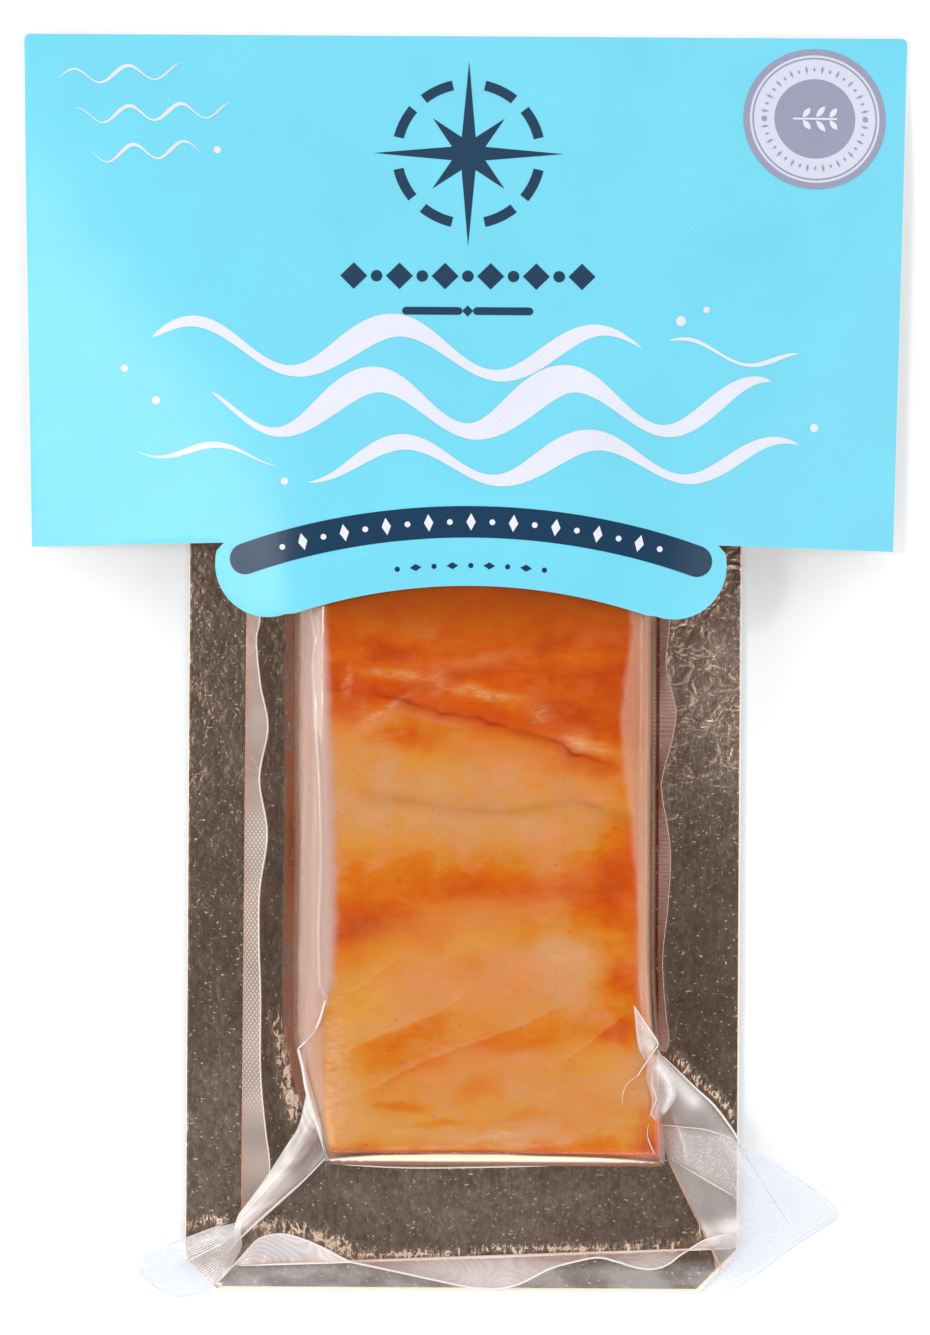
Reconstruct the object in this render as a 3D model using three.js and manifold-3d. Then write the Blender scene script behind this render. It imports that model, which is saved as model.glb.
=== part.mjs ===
// Cold smoked butterfish fillet in its shop pack, lying on its back with the shown side up.
// A block of fillet is sealed in a clear vacuum pouch. The pouch lies on a foil-faced board,
// and a folded card header covers the upper end of both. Its front panel bends over the block
// like a low tent. Lengths are millimetres, +Z is up and +Y points to the header's fold.

import * as THREE from 'three';
import { mergeVertices } from 'three/addons/utils/BufferGeometryUtils.js';
import Module from 'manifold-3d';

const wasm = await Module();
wasm.setup();

// Driving dimensions of the whole
const gap = 0.3;
const foldY = 137.1;

// Card header: a front and a back panel of one card, folded at the upper edge
const card = {
  thickness: 0.5,
  upperHalfWidth: 95.9,
  lowerHalfWidth: 93.3,
  lowerY: 25.6,
  notchY: 26.4,
  backLowerY: 27.5,
  cornerRadius: 1.2,
  tipHeight: 3.0,
  bend: 8,
};

// Tongue of the front panel: two round lobes joined by a shallow arch
const tongue = { x: 1.8, lobeSpread: 43.2, lobeY: 22, lobeRadius: 11.5, archRadius: 118, archY: 17.4 };

// Backing board under the pouch, with its two lower corners cut off
const board = { x: 0.7, width: 120, thickness: 0.8, lowerY: -135.3, upperY: 114, leftCut: 6.8, rightCut: 8.7 };

// Block of fillet inside the pouch: base outline, slanting walls and a gently rounded top
const block = {
  height: 20,
  upperY: 33,
  lowerY: -107.6,
  leftX: -36,
  leftCornerX: -29,
  leftTurnY: -78,
  rightX: 42.1,
  rightCornerX: 44.7,
  rightTurnY: -60,
  wall: { left: 7.6, leftCorner: 2.2, right: 4.7, rightCorner: 2.8, lower: 5.2, upper: 8 },
  roundness: 2.2,
  wave: 0.35,
};

// Pouch: flat margins, seams that stand up along three sides, and two pulled-out corners
const pouch = { film: 0.6, upperY: 100, seamUpperY: 88, seamHeight: 7, leftX: -47.3, rightX: 43.4 };
const pouchCorner = { left: [-49.9, -130.4], right: [55.9, -126.0], rightTurn: [45.2, -82] };

// Heights that follow from the layers
const boardZ = card.thickness + gap;
const pouchZ = boardZ + board.thickness + gap;
const blockBaseZ = pouchZ + pouch.film / 2;
const blockTopZ = blockBaseZ + block.height + block.wave;
const tentZ = blockTopZ + gap;

// Solids and meshes

function solidOf(geometry) {
  const bare = geometry.clone();
  bare.deleteAttribute('normal');
  bare.deleteAttribute('uv');
  const merged = mergeVertices(bare, 1e-4);
  const vertProperties = new Float32Array(merged.attributes.position.array);
  const triVerts = new Uint32Array(merged.index.array);
  return new wasm.Manifold(new wasm.Mesh({ numProp: 3, vertProperties, triVerts }));
}

function geometryOf(solid) {
  const { vertProperties, triVerts } = solid.getMesh();
  const geometry = new THREE.BufferGeometry();
  geometry.setAttribute('position', new THREE.BufferAttribute(new Float32Array(vertProperties), 3));
  geometry.setIndex(Array.from(triVerts));
  return geometry;
}

function prism(shape, fromZ, toZ) {
  const geometry = new THREE.ExtrudeGeometry(shape, { depth: toZ - fromZ, bevelEnabled: false, curveSegments: 14 });
  geometry.translate(0, 0, fromZ);
  return solidOf(geometry);
}

// A closed slab between two faces, each given as a function of u and v from 0 to 1
function slab(columns, rows, lowerAt, upperAt) {
  const points = [];
  for (const faceAt of [lowerAt, upperAt]) {
    for (let row = 0; row <= rows; row += 1) {
      for (let column = 0; column <= columns; column += 1) {
        points.push(...faceAt(column / columns, row / rows));
      }
    }
  }
  const perRow = columns + 1;
  const upperStart = perRow * (rows + 1);
  const triangles = [];
  const quad = (a, b, c, d) => triangles.push(a, b, c, a, c, d);
  for (let row = 0; row < rows; row += 1) {
    for (let column = 0; column < columns; column += 1) {
      const a = row * perRow + column;
      const d = a + perRow;
      quad(a, d, d + 1, a + 1);
      quad(upperStart + a, upperStart + a + 1, upperStart + d + 1, upperStart + d);
    }
  }
  const lastRow = rows * perRow;
  for (let column = 0; column < columns; column += 1) {
    quad(column, column + 1, upperStart + column + 1, upperStart + column);
    const far = lastRow + column;
    quad(far + 1, far, upperStart + far, upperStart + far + 1);
  }
  for (let row = 0; row < rows; row += 1) {
    const near = row * perRow;
    quad(near + perRow, near, upperStart + near, upperStart + near + perRow);
    const far = near + columns;
    quad(far, far + perRow, upperStart + far + perRow, upperStart + far);
  }
  const geometry = new THREE.BufferGeometry();
  geometry.setAttribute('position', new THREE.BufferAttribute(new Float32Array(points), 3));
  geometry.setIndex(triangles);
  return solidOf(geometry);
}

function polygon(corners) {
  return new THREE.Shape(corners.map(([x, y]) => new THREE.Vector2(x, y)));
}

function mix(a, b, t) {
  return a + (b - a) * t;
}

// Smooth minimum of two heights
function lowerOf(a, b, blend) {
  const overlap = Math.max(blend - Math.abs(a - b), 0) / blend;
  return Math.min(a, b) - (overlap * overlap * blend) / 4;
}

// Card header

function panelOutline(lowerY) {
  const { upperHalfWidth: upper, lowerHalfWidth: lower, cornerRadius: radius } = card;
  const shape = new THREE.Shape();
  shape.moveTo(-upper + radius, foldY);
  shape.quadraticCurveTo(-upper, foldY, -upper, foldY - radius);
  shape.lineTo(-lower, lowerY);
  return { shape, close: () => {
    shape.lineTo(lower, lowerY);
    shape.lineTo(upper, foldY - radius);
    shape.quadraticCurveTo(upper, foldY, upper - radius, foldY);
    return shape;
  } };
}

function frontOutline() {
  const { shape, close } = panelOutline(card.lowerY);
  const reach = Math.sqrt(tongue.lobeRadius ** 2 - (card.notchY - tongue.lobeY) ** 2);
  const notchAngle = Math.atan2(card.notchY - tongue.lobeY, reach);
  const archCentreY = tongue.archY - tongue.archRadius;
  const lobeAngle = Math.atan2(tongue.lobeY - archCentreY, tongue.lobeSpread);
  const lobeCentre = (side) => tongue.x + side * tongue.lobeSpread;
  shape.lineTo(lobeCentre(-1) - reach, card.notchY);
  shape.absarc(lobeCentre(-1), tongue.lobeY, tongue.lobeRadius, Math.PI - notchAngle, Math.PI * 2 - lobeAngle, false);
  shape.absarc(tongue.x, archCentreY, tongue.archRadius, Math.PI - lobeAngle, lobeAngle, true);
  shape.absarc(lobeCentre(1), tongue.lobeY, tongue.lobeRadius, Math.PI + lobeAngle, Math.PI * 2 + notchAngle, false);
  return close();
}

// Height of the front panel's underside: it climbs from the fold, lies on the block, and droops to both sides.
// The slopes aim a little above the block's edges, so that their rounded bends clear its shoulders.
function tentHeight(x, y) {
  const foldZ = card.thickness - 0.2;
  const aim = tentZ + card.bend / 3;
  const rise = foldZ + ((aim - foldZ) * Math.max(foldY - y, 0)) / (foldY - block.upperY);
  const ridge = x < 0 ? -block.leftX - block.wall.left : block.rightX - block.wall.right;
  const droop = (card.lowerHalfWidth - Math.abs(x)) / (card.lowerHalfWidth - ridge);
  const wing = card.tipHeight + (aim - card.tipHeight) * droop;
  const slope = lowerOf(rise, wing, card.bend);
  return Math.max(lowerOf(slope, tentZ, card.bend / 4), foldZ);
}

function headerSolid() {
  const halfWidth = card.upperHalfWidth + 2;
  const nearY = tongue.lobeY - tongue.lobeRadius - 2;
  const faceAt = (lift) => (u, v) => {
    const x = mix(-halfWidth, halfWidth, u);
    const y = mix(nearY, foldY + 1, v);
    return [x, y, tentHeight(x, y) + lift];
  };
  const sheet = slab(26, 16, faceAt(0), faceAt(card.thickness));
  const front = sheet.intersect(prism(frontOutline(), -1, tentZ + 5));
  const back = prism(panelOutline(card.backLowerY).close(), 0, card.thickness);
  return front.add(back);
}

// Backing board

function boardOutline(grow) {
  const left = board.x - board.width / 2 - grow;
  const right = board.x + board.width / 2 + grow;
  const lower = board.lowerY - grow;
  const upper = board.upperY + grow;
  return polygon([
    [left + board.leftCut, lower],
    [right - board.rightCut, lower],
    [right, lower + board.rightCut],
    [right, upper],
    [left, upper],
    [left, lower + board.leftCut],
  ]);
}

// Sealed pouch with the block of fillet in it

// Wall profile: steep at the base and rounded over at the shoulder, 0 to 1
function shoulder(distance, width) {
  const left = THREE.MathUtils.clamp(1 - distance / width, 0, 1);
  return (1 - left ** block.roundness) ** (1 / block.roundness);
}

// Where the block's two side walls stand at a given y, and how far each slants in towards the top.
// Near the lower end both turn to their corners and get steeper.
function sideWalls(y) {
  const { wall } = block;
  const leftTurn = THREE.MathUtils.smoothstep(block.leftTurnY - y, 0, block.leftTurnY - block.lowerY);
  const rightTurn = THREE.MathUtils.smoothstep(block.rightTurnY - y, 0, block.rightTurnY - block.lowerY);
  return {
    left: mix(block.leftX, block.leftCornerX, leftTurn),
    leftSlant: mix(wall.left, wall.leftCorner, leftTurn),
    right: mix(block.rightX, block.rightCornerX, rightTurn),
    rightSlant: mix(wall.right, wall.rightCorner, rightTurn),
  };
}

function blockHeight(x, y) {
  const { left, leftSlant, right, rightSlant } = sideWalls(y);
  const { wall } = block;
  const across = shoulder(x - left, leftSlant) * shoulder(right - x, rightSlant);
  const along = shoulder(y - block.lowerY, wall.lower) * shoulder(block.upperY - y, wall.upper);
  const wave = block.wave * Math.sin(y / 11) * Math.cos(x / 17);
  return (block.height + wave) * across * along;
}

// Grid lines crowd at both ends, where the walls are
function crowded(t, endShare, wallSteps, steps) {
  const line = t * steps;
  const wallLines = [0, 0.06, 0.3, 0.65, 1].map((share) => share * endShare);
  if (line <= wallSteps) {
    return wallLines[Math.round(line)];
  }
  if (line >= steps - wallSteps) {
    return 1 - wallLines[Math.round(steps - line)];
  }
  return mix(endShare, 1 - endShare, (line - wallSteps) / (steps - 2 * wallSteps));
}

function blockSolid() {
  const columns = 16;
  const rows = 22;
  const wallSteps = 4;
  const faceAt = (heightAt) => (u, v) => {
    const y = mix(block.lowerY, block.upperY, crowded(v, block.wall.upper / 140, wallSteps, rows));
    const { left, right } = sideWalls(y);
    const x = mix(left, right, crowded(u, block.wall.left / 76, wallSteps, columns));
    return [x, y, heightAt(x, y)];
  };
  const base = faceAt(() => pouchZ);
  const top = faceAt((x, y) => blockBaseZ + blockHeight(x, y));
  return slab(columns, rows, base, top);
}

function marginSolid() {
  const outline = polygon([
    pouchCorner.left,
    pouchCorner.right,
    pouchCorner.rightTurn,
    [pouch.rightX, pouchCorner.rightTurn[1] + 25],
    [pouch.rightX, pouch.upperY],
    [pouch.leftX, pouch.upperY],
  ]);
  return prism(outline, pouchZ, pouchZ + pouch.film);
}

function curveThrough(points) {
  return new THREE.CatmullRomCurve3(points.map((point) => new THREE.Vector3(...point)), false, 'centripetal');
}

// A seam stands on the margin along a line. Its free edge leans sideways by the given amounts,
// evenly spaced from the line's start to its end.
function seamSolid(from, to, leans, steps) {
  const start = new THREE.Vector3(...from, pouchZ);
  const end = new THREE.Vector3(...to, pouchZ);
  const side = new THREE.Vector3().subVectors(end, start).cross(new THREE.Vector3(0, 0, 1)).normalize();
  const leanCurve = curveThrough(leans.map((lean, index) => [index, lean, 0]));
  const faceAt = (offset) => (u, v) => {
    const lean = leanCurve.getPoint(u).y;
    const rise = Math.sqrt(pouch.seamHeight ** 2 - lean ** 2);
    const point = new THREE.Vector3().lerpVectors(start, end, u);
    point.addScaledVector(side, lean * v + offset);
    point.z += pouch.film / 2 + rise * v;
    return point.toArray();
  };
  return slab(steps, 3, faceAt(-pouch.film / 2), faceAt(pouch.film / 2));
}

// A pulled-out corner of the pouch, through three lines that run from the block to its tip,
// the one on the right hand first. Folded film fills it down to the margin, and past the
// board's edge it is one thin layer.
function cornerSolid(lines) {
  const curves = lines.map(curveThrough);
  const pointAt = (u, v) => {
    const [a, b, c] = curves.map((curve) => curve.getPoint(u));
    a.multiplyScalar((1 - v) * (1 - 2 * v));
    a.addScaledVector(b, 4 * v * (1 - v));
    a.addScaledVector(c, v * (2 * v - 1));
    a.z = Math.max(a.z, 0);
    return a;
  };
  const lowerFace = (u, v) => {
    const { x, y, z } = pointAt(u, v);
    return [x, y, Math.min(z, pouchZ)];
  };
  const upperFace = (u, v) => {
    const { x, y, z } = pointAt(u, v);
    return [x, y, z + pouch.film];
  };
  return slab(14, 8, lowerFace, upperFace);
}

// How far each seam's free edge leans, from one end to the other
const leftSeamLean = [2, 3.5, 2.5, 4, 3.3, 2.6, 5.2, 3.3, 5.1, 3.5, 3.6, 4.3, 4.6, 5.6, 6.6];
const rightSeamLean = [1.5, 0.5, 2, 1, 2, 1.3, 3.4, 0.3, 2.2, 1.4, 0.2, 1.2];
const lowerSeamLean = [0.5, 6.4, 3, 0.4, -3.2, -6.8, -2.8, -0.9, -3.1, -0.6, 3];

function seams() {
  const left = seamSolid([pouch.leftX, pouch.seamUpperY], [-48.6, -121], leftSeamLean.map((lean) => -lean), 42);
  const right = seamSolid([pouch.rightX, pouch.seamUpperY], [44.6, -77], rightSeamLean.map((lean) => -lean), 33);
  const lower = seamSolid([-47.5, -130], [54.5, -125.8], lowerSeamLean.map((lean) => -lean), 30);
  return [left, right, lower];
}

function leftCorner() {
  const upperEdge = [[-35.3, -82.6, 13], [-36, -100.6, 8], [-41, -109.3, 6], [-47.4, -118, 4.5],
    [-58.9, -124.6, 2.8], [-66.9, -128, 1], [-69.7, -131.2, 0.1]];
  const ridge = [[-30.5, -95, 15], [-36, -106.5, 11], [-42, -114.8, 8], [-49.5, -122.8, 6],
    [-57, -129.5, 4], [-63, -132.5, 1.6], [-68.8, -133, 0.3]];
  const lowerEdge = [[-28.4, -107.2, 3], [-35, -113.6, 4], [-42.6, -120.2, 4], [-49.4, -129, 3.2],
    [-54.4, -135.6, 1.6], [-60.5, -137.8, 0.3], [-67, -134.6, 0.1]];
  return cornerSolid([upperEdge, ridge, lowerEdge]);
}

function rightCorner() {
  const upperEdge = [[39.4, -75, 19], [43.7, -80.6, 16], [52.2, -91.4, 9], [58.8, -100, 5.5],
    [64.5, -107.5, 3.4], [72, -110.8, 1.6], [81.2, -117, 0.3]];
  const ridge = [[41, -90, 15], [47, -98.5, 10], [54, -108, 6.5], [61, -114.5, 4.2],
    [68.5, -118.3, 2.5], [75, -118.8, 1.1], [81.8, -118, 0.2]];
  const lowerEdge = [[44, -106, 2.6], [48, -118, 2.6], [51, -129, 2.6], [55.5, -136, 1.4],
    [66, -132.5, 0.3], [74, -126, 0.1], [81.5, -119, 0.1]];
  return cornerSolid([lowerEdge, ridge, upperEdge]);
}

function pouchSolid() {
  const parts = [marginSolid(), ...seams(), leftCorner(), rightCorner()];
  const joined = parts.reduce((whole, piece) => whole.add(piece), blockSolid());
  const boardRoom = prism(boardOutline(gap), boardZ - gap, pouchZ);
  return joined.subtract(boardRoom);
}

// Scene graph

function piece(name, solid, look) {
  const mesh = new THREE.Mesh(geometryOf(solid), new THREE.MeshStandardMaterial(look));
  mesh.name = name;
  return mesh;
}

function butterfishPack() {
  const pack = new THREE.Group();
  pack.add(piece('header_card', headerSolid(), { color: 0x7be4f9, roughness: 0.35, metalness: 0 }));
  const boardSolid = prism(boardOutline(0), boardZ, boardZ + board.thickness);
  pack.add(piece('backing_board', boardSolid, { color: 0x7a6a5c, roughness: 0.35, metalness: 0.9 }));
  pack.add(piece('sealed_bag', pouchSolid(), { color: 0xdc8238, roughness: 0.15, metalness: 0 }));
  return pack;
}

// The origin is the middle of the footprint, at floor height
function standOnOrigin(group) {
  const box = new THREE.Box3().setFromObject(group);
  const centre = box.getCenter(new THREE.Vector3());
  group.position.set(-centre.x, -centre.y, -box.min.z);
  return group;
}

export default standOnOrigin(butterfishPack());
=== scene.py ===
"""Cold smoked butterfish fillet in its shop pack, lying on its back.

A block of fillet lies in a clear vacuum pouch, on a foil-faced board, under a folded card
header. Shapes are worked out in millimetres, in the part's own axes: +X to the right,
+Y to the header's fold and +Z up, out of the shown side. A finished piece is in metres.
"""
import math

import bmesh
import bpy
from mathutils import Matrix, Vector, noise


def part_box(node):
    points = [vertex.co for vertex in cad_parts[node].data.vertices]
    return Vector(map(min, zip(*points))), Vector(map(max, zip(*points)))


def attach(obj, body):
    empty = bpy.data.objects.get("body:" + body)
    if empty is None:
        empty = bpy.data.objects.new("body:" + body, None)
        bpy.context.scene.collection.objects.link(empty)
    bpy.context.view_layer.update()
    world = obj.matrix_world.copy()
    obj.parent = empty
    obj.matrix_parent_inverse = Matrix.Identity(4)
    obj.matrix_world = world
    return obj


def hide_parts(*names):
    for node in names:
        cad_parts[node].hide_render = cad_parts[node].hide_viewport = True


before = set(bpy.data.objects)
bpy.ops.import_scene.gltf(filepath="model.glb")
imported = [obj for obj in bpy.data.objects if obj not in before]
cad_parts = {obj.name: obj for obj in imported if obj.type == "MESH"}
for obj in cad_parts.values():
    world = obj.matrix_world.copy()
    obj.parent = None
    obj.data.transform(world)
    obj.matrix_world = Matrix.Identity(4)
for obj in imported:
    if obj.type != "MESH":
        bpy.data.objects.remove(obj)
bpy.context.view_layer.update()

# Sizes in millimetres, as in the part's source
GAP = 0.3
FOLD_Y = 137.1
CARD = dict(
    thick=0.5, upper=95.9, lower=93.3, lower_y=25.6, notch_y=26.4, back_y=27.5, round=1.2, tip=3.0,
    bend=8.0)
TONGUE = dict(
    x=1.8, spread=43.2, y=22.0, radius=11.5, lobe_start=166, notch=1.9, arch_radius=118.0, arch_y=17.4)
BOARD = dict(x=0.7, width=120.0, thick=0.8, lower_y=-135.3, upper_y=114.0, left_cut=6.8, right_cut=8.7)
BLOCK = dict(height=20.0, upper_y=33.0, lower_y=-107.6, wave=0.35, roundness=2.2)
BLOCK_LEFT = dict(x=-36.0, corner_x=-29.0, turn_y=-78.0, wall=7.6, corner_wall=2.2)
BLOCK_RIGHT = dict(x=42.1, corner_x=44.7, turn_y=-60.0, wall=4.7, corner_wall=2.8)
LOWER_WALL = 5.2
UPPER_WALL = 8.0
FLESH_INSET = 0.8
POUCH = dict(film=0.6, upper_y=100.0, seam=7.0, left_x=-47.3, right_x=43.4)

BOARD_Z = CARD["thick"] + GAP
POUCH_Z = BOARD_Z + BOARD["thick"] + GAP
BLOCK_Z = POUCH_Z + POUCH["film"] / 2
TENT_Z = BLOCK_Z + BLOCK["height"] + BLOCK["wave"] + GAP

# How finely flat sheets are cut up to bend, and the spacing along strips of film
CARD_SLICE = 2.0
BOARD_SLICE = 1.5
FILM_STEP = 0.6

# How far film, seams and print lie over what is under them
SHEET_LIFT = 0.2
SEAM_LIFT = 0.3
INK_LIFT = 0.05

# The part's origin is the middle of its footprint, so its pieces are shifted to the fold's place
SHIFT_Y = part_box("header_card")[1].y * 1000 - FOLD_Y


# Small maths

def mix(a, b, t):
    return a + (b - a) * t


def clamp(value, low=0.0, high=1.0):
    return max(low, min(high, value))


def ease(low, high, value):
    t = clamp((value - low) / (high - low))
    return t * t * (3 - 2 * t)


def lower_of(a, b, blend):
    """Smooth minimum."""
    overlap = max(blend - abs(a - b), 0) / blend
    return min(a, b) - overlap * overlap * blend / 4


def spread(stops, t):
    """A place along uneven stops: (share of the columns, place) pairs."""
    for (start, a), (end, b) in zip(stops, stops[1:]):
        if t <= end:
            return mix(a, b, (t - start) / (end - start))
    return stops[-1][1]


def curve_point(points, t):
    """A point on the smooth curve through evenly counted points, t from 0 to 1."""
    place = clamp(t) * (len(points) - 1)
    index = min(int(place), len(points) - 2)
    f = place - index
    before = points[max(index - 1, 0)]
    here, there = points[index], points[index + 1]
    after = points[min(index + 2, len(points) - 1)]
    result = []
    for p0, p1, p2, p3 in zip(before, here, there, after):
        curve = 2 * p1 + (p2 - p0) * f
        curve += (2 * p0 - 5 * p1 + 4 * p2 - p3) * f * f
        curve += (3 * p1 - p0 - 3 * p2 + p3) * f ** 3
        result.append(curve / 2)
    return Vector(result)


def wander(x, y, size, seed=0.0):
    """Soft noise from about -1 to 1 with features of the given size. Each seed has its own pattern."""
    return noise.noise(Vector((x / size, y / size, seed)))


def height_over_line(x, y, points):
    """Distance to an open line that runs to the right, below zero for a point under it."""
    best = 1e9
    for (ax, ay), (bx, by) in zip(points, points[1:]):
        dx, dy = bx - ax, by - ay
        t = clamp(((x - ax) * dx + (y - ay) * dy) / (dx * dx + dy * dy))
        apart = math.hypot(x - ax - t * dx, y - ay - t * dy)
        if apart < abs(best):
            best = math.copysign(apart, dx * (y - ay) - dy * (x - ax))
    return best


def ridge(distance, width):
    """1 where the distance is nought, fading over the width on both sides."""
    return math.exp(-(distance / width) ** 2)


def near(x, y, line, width):
    """1 on a line through points, fading over the width."""
    return ridge(height_over_line(x, y, line), width)


def patches_at(x, y, patches):
    """The sum of soft patches at a point."""
    total = 0.0
    for mid_x, mid_y, half_x, half_y, turn, amount in patches:
        if max(abs(x - mid_x), abs(y - mid_y)) > 2.6 * (half_x + half_y):
            continue
        c, s = math.cos(math.radians(turn)), math.sin(math.radians(turn))
        across = ((x - mid_x) * c + (y - mid_y) * s) / half_x
        along = ((y - mid_y) * c - (x - mid_x) * s) / half_y
        total += amount * math.exp(-((across * across + along * along) ** 1.25))
    return total


# Heights shared by the pieces

def tent_height(x, y):
    """Underside of the header's front panel."""
    fold_z = CARD["thick"] - 0.2
    aim = TENT_Z + CARD["bend"] / 3
    rise = fold_z + (aim - fold_z) * max(FOLD_Y - y, 0) / (FOLD_Y - BLOCK["upper_y"])
    side = BLOCK_LEFT if x < 0 else BLOCK_RIGHT
    ridge = abs(side["x"]) - side["wall"]
    droop = (CARD["lower"] - abs(x)) / (CARD["lower"] - ridge)
    wing = CARD["tip"] + (aim - CARD["tip"]) * droop
    slope = lower_of(rise, wing, CARD["bend"])
    return max(lower_of(slope, TENT_Z, CARD["bend"] / 4), fold_z)


def shoulder(distance, width):
    left = clamp(1 - distance / width)
    return (1 - left ** BLOCK["roundness"]) ** (1 / BLOCK["roundness"])


def block_side(side, y):
    """Where a side wall stands at y, and how far it slants in towards the top."""
    turned = ease(0, side["turn_y"] - BLOCK["lower_y"], side["turn_y"] - y)
    return mix(side["x"], side["corner_x"], turned), mix(side["wall"], side["corner_wall"], turned)


def block_height(x, y, inset=0.0):
    """Height of the block over its base, with walls that stand inset millimetres further in."""
    left, left_wall = block_side(BLOCK_LEFT, y)
    right, right_wall = block_side(BLOCK_RIGHT, y)
    across = shoulder(x - left - inset, left_wall) * shoulder(right - x - inset, right_wall)
    lower = shoulder(y - BLOCK["lower_y"] - inset, LOWER_WALL)
    along = lower * shoulder(BLOCK["upper_y"] - y, UPPER_WALL)
    wave = BLOCK["wave"] * math.sin(y / 11) * math.cos(x / 17) + 0.25 * wander(x, y, 14)
    return (BLOCK["height"] + wave) * across * along


# Mesh making

def grid(columns, rows, place):
    """A bmesh grid whose vertices go to place(u, v), with u and v from 0 to 1 kept as its UV map."""
    bm = bmesh.new()
    bmesh.ops.create_grid(bm, x_segments=columns, y_segments=rows, size=0.5)
    layer = bm.loops.layers.uv.new("UVMap")
    for face in bm.faces:
        face.smooth = True
        for loop in face.loops:
            loop[layer].uv = (loop.vert.co.x + 0.5, loop.vert.co.y + 0.5)
    for vertex in bm.verts:
        vertex.co = place(vertex.co.x + 0.5, vertex.co.y + 0.5)
    return bm


def flat_shape(*outlines):
    """A flat bmesh with one face for each closed outline."""
    bm = bmesh.new()
    for outline in outlines:
        bm.faces.new([bm.verts.new((x, y, 0)) for x, y in outline])
    return bm


def slice_up(bm, spacing):
    """Cuts flat faces along a square grid, so that they can bend."""
    for axis in range(2):
        reach = [vertex.co[axis] for vertex in bm.verts]
        normal = Vector((axis == 0, axis == 1, 0))
        place = math.ceil(min(reach) / spacing) * spacing
        while place < max(reach):
            geometry = bm.verts[:] + bm.edges[:] + bm.faces[:]
            bmesh.ops.bisect_plane(
                bm, geom=geometry, dist=1e-4, plane_co=normal * place, plane_no=normal)
            place += spacing
    return bm


def drape(bm, height):
    for vertex in bm.verts:
        vertex.co.z += height(vertex.co.x, vertex.co.y)
    return bm


def thicken(bm, rise):
    """Gives an open sheet an upper face, rise above it, and walls round its rim."""
    made = bmesh.ops.extrude_face_region(bm, geom=bm.faces[:], use_keep_orig=True)
    upper = [part for part in made["geom"] if isinstance(part, bmesh.types.BMVert)]
    bmesh.ops.translate(bm, verts=upper, vec=(0, 0, rise))
    bmesh.ops.recalc_face_normals(bm, faces=bm.faces[:])
    return bm


def smooth_faces(bm, sharp_degrees=40):
    limit = math.radians(sharp_degrees)
    for face in bm.faces:
        face.smooth = True
    for edge in bm.edges:
        edge.smooth = len(edge.link_faces) < 2 or edge.calc_face_angle(0) < limit
    return bm


def round_rim(bm, offset, segments, material):
    """Rounds the cut edges, and gives the new faces."""
    rim = [edge for edge in bm.edges if edge.calc_face_angle(0) > 1.0]
    made = bmesh.ops.bevel(
        bm, geom=rim, offset=offset, offset_type="OFFSET", affect="EDGES", segments=segments,
        profile=0.5, material=material, clamp_overlap=True)
    return made["faces"]


def paint(bm, name, value_at):
    """Keeps a number for each vertex, which the materials read."""
    layer = bm.verts.layers.float.new(name)
    for vertex in bm.verts:
        vertex[layer] = value_at(vertex)


def paint_shares(bm, **numbers):
    """Keeps numbers from 0 to 1 for each vertex, each one a function of x and y."""
    for name, value_at in numbers.items():
        paint(bm, name, lambda v, value=value_at: clamp(value(v.co.x, v.co.y)))


def piece(name, bm, slot, *materials):
    """Turns a bmesh in millimetres into a finished piece that rides on the pack."""
    bmesh.ops.translate(bm, verts=bm.verts[:], vec=(0, SHIFT_Y, 0))
    bmesh.ops.scale(bm, verts=bm.verts[:], vec=(0.001, 0.001, 0.001))
    mesh = bpy.data.meshes.new(name)
    bm.to_mesh(mesh)
    bm.free()
    for material in materials:
        mesh.materials.append(material)
    made = bpy.data.objects.new(name, mesh)
    bpy.context.scene.collection.objects.link(made)
    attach(made, "root")
    return made


# Material making

def new_material(name):
    material = bpy.data.materials.new(name)
    material.use_nodes = True
    material.node_tree.nodes.clear()
    return material


def add(tree, kind, inputs=None, **settings):
    """A new node with its settings, and its inputs set to values or linked to sockets."""
    made = tree.nodes.new(kind)
    for key, value in settings.items():
        setattr(made, key, value)
    for key, value in (inputs or {}).items():
        if isinstance(value, bpy.types.NodeSocket):
            tree.links.new(value, made.inputs[key])
        else:
            made.inputs[key].default_value = value
    return made


def finish_material(tree, shader):
    add(tree, "ShaderNodeOutputMaterial", {"Surface": shader})


def coordinates(tree, scale):
    """Object coordinates times scale on each axis."""
    source = add(tree, "ShaderNodeTexCoord")
    mapping = add(tree, "ShaderNodeMapping", {"Vector": source.outputs["Object"], "Scale": scale})
    return mapping.outputs["Vector"]


def noise_at(tree, vector, scale, detail=3.0, roughness=0.5, distortion=0.0):
    inputs = {
        "Vector": vector, "Scale": scale, "Detail": detail, "Roughness": roughness, "Distortion": distortion}
    return add(tree, "ShaderNodeTexNoise", inputs).outputs["Fac"]


def ramp(tree, value, *stops):
    """A colour ramp through (place, colour) stops."""
    made = add(tree, "ShaderNodeValToRGB", {"Fac": value})
    elements = made.color_ramp.elements
    while len(elements) < len(stops):
        elements.new(0.5)
    for element, (place, colour) in zip(elements, stops):
        element.position = place
        element.color = (*colour, 1.0)
    return made.outputs["Color"]


def level(tree, value, low, high, to_low=0.0, to_high=1.0):
    inputs = {"Value": value, "From Min": low, "From Max": high, "To Min": to_low, "To Max": to_high}
    return add(tree, "ShaderNodeMapRange", inputs).outputs["Result"]


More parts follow.
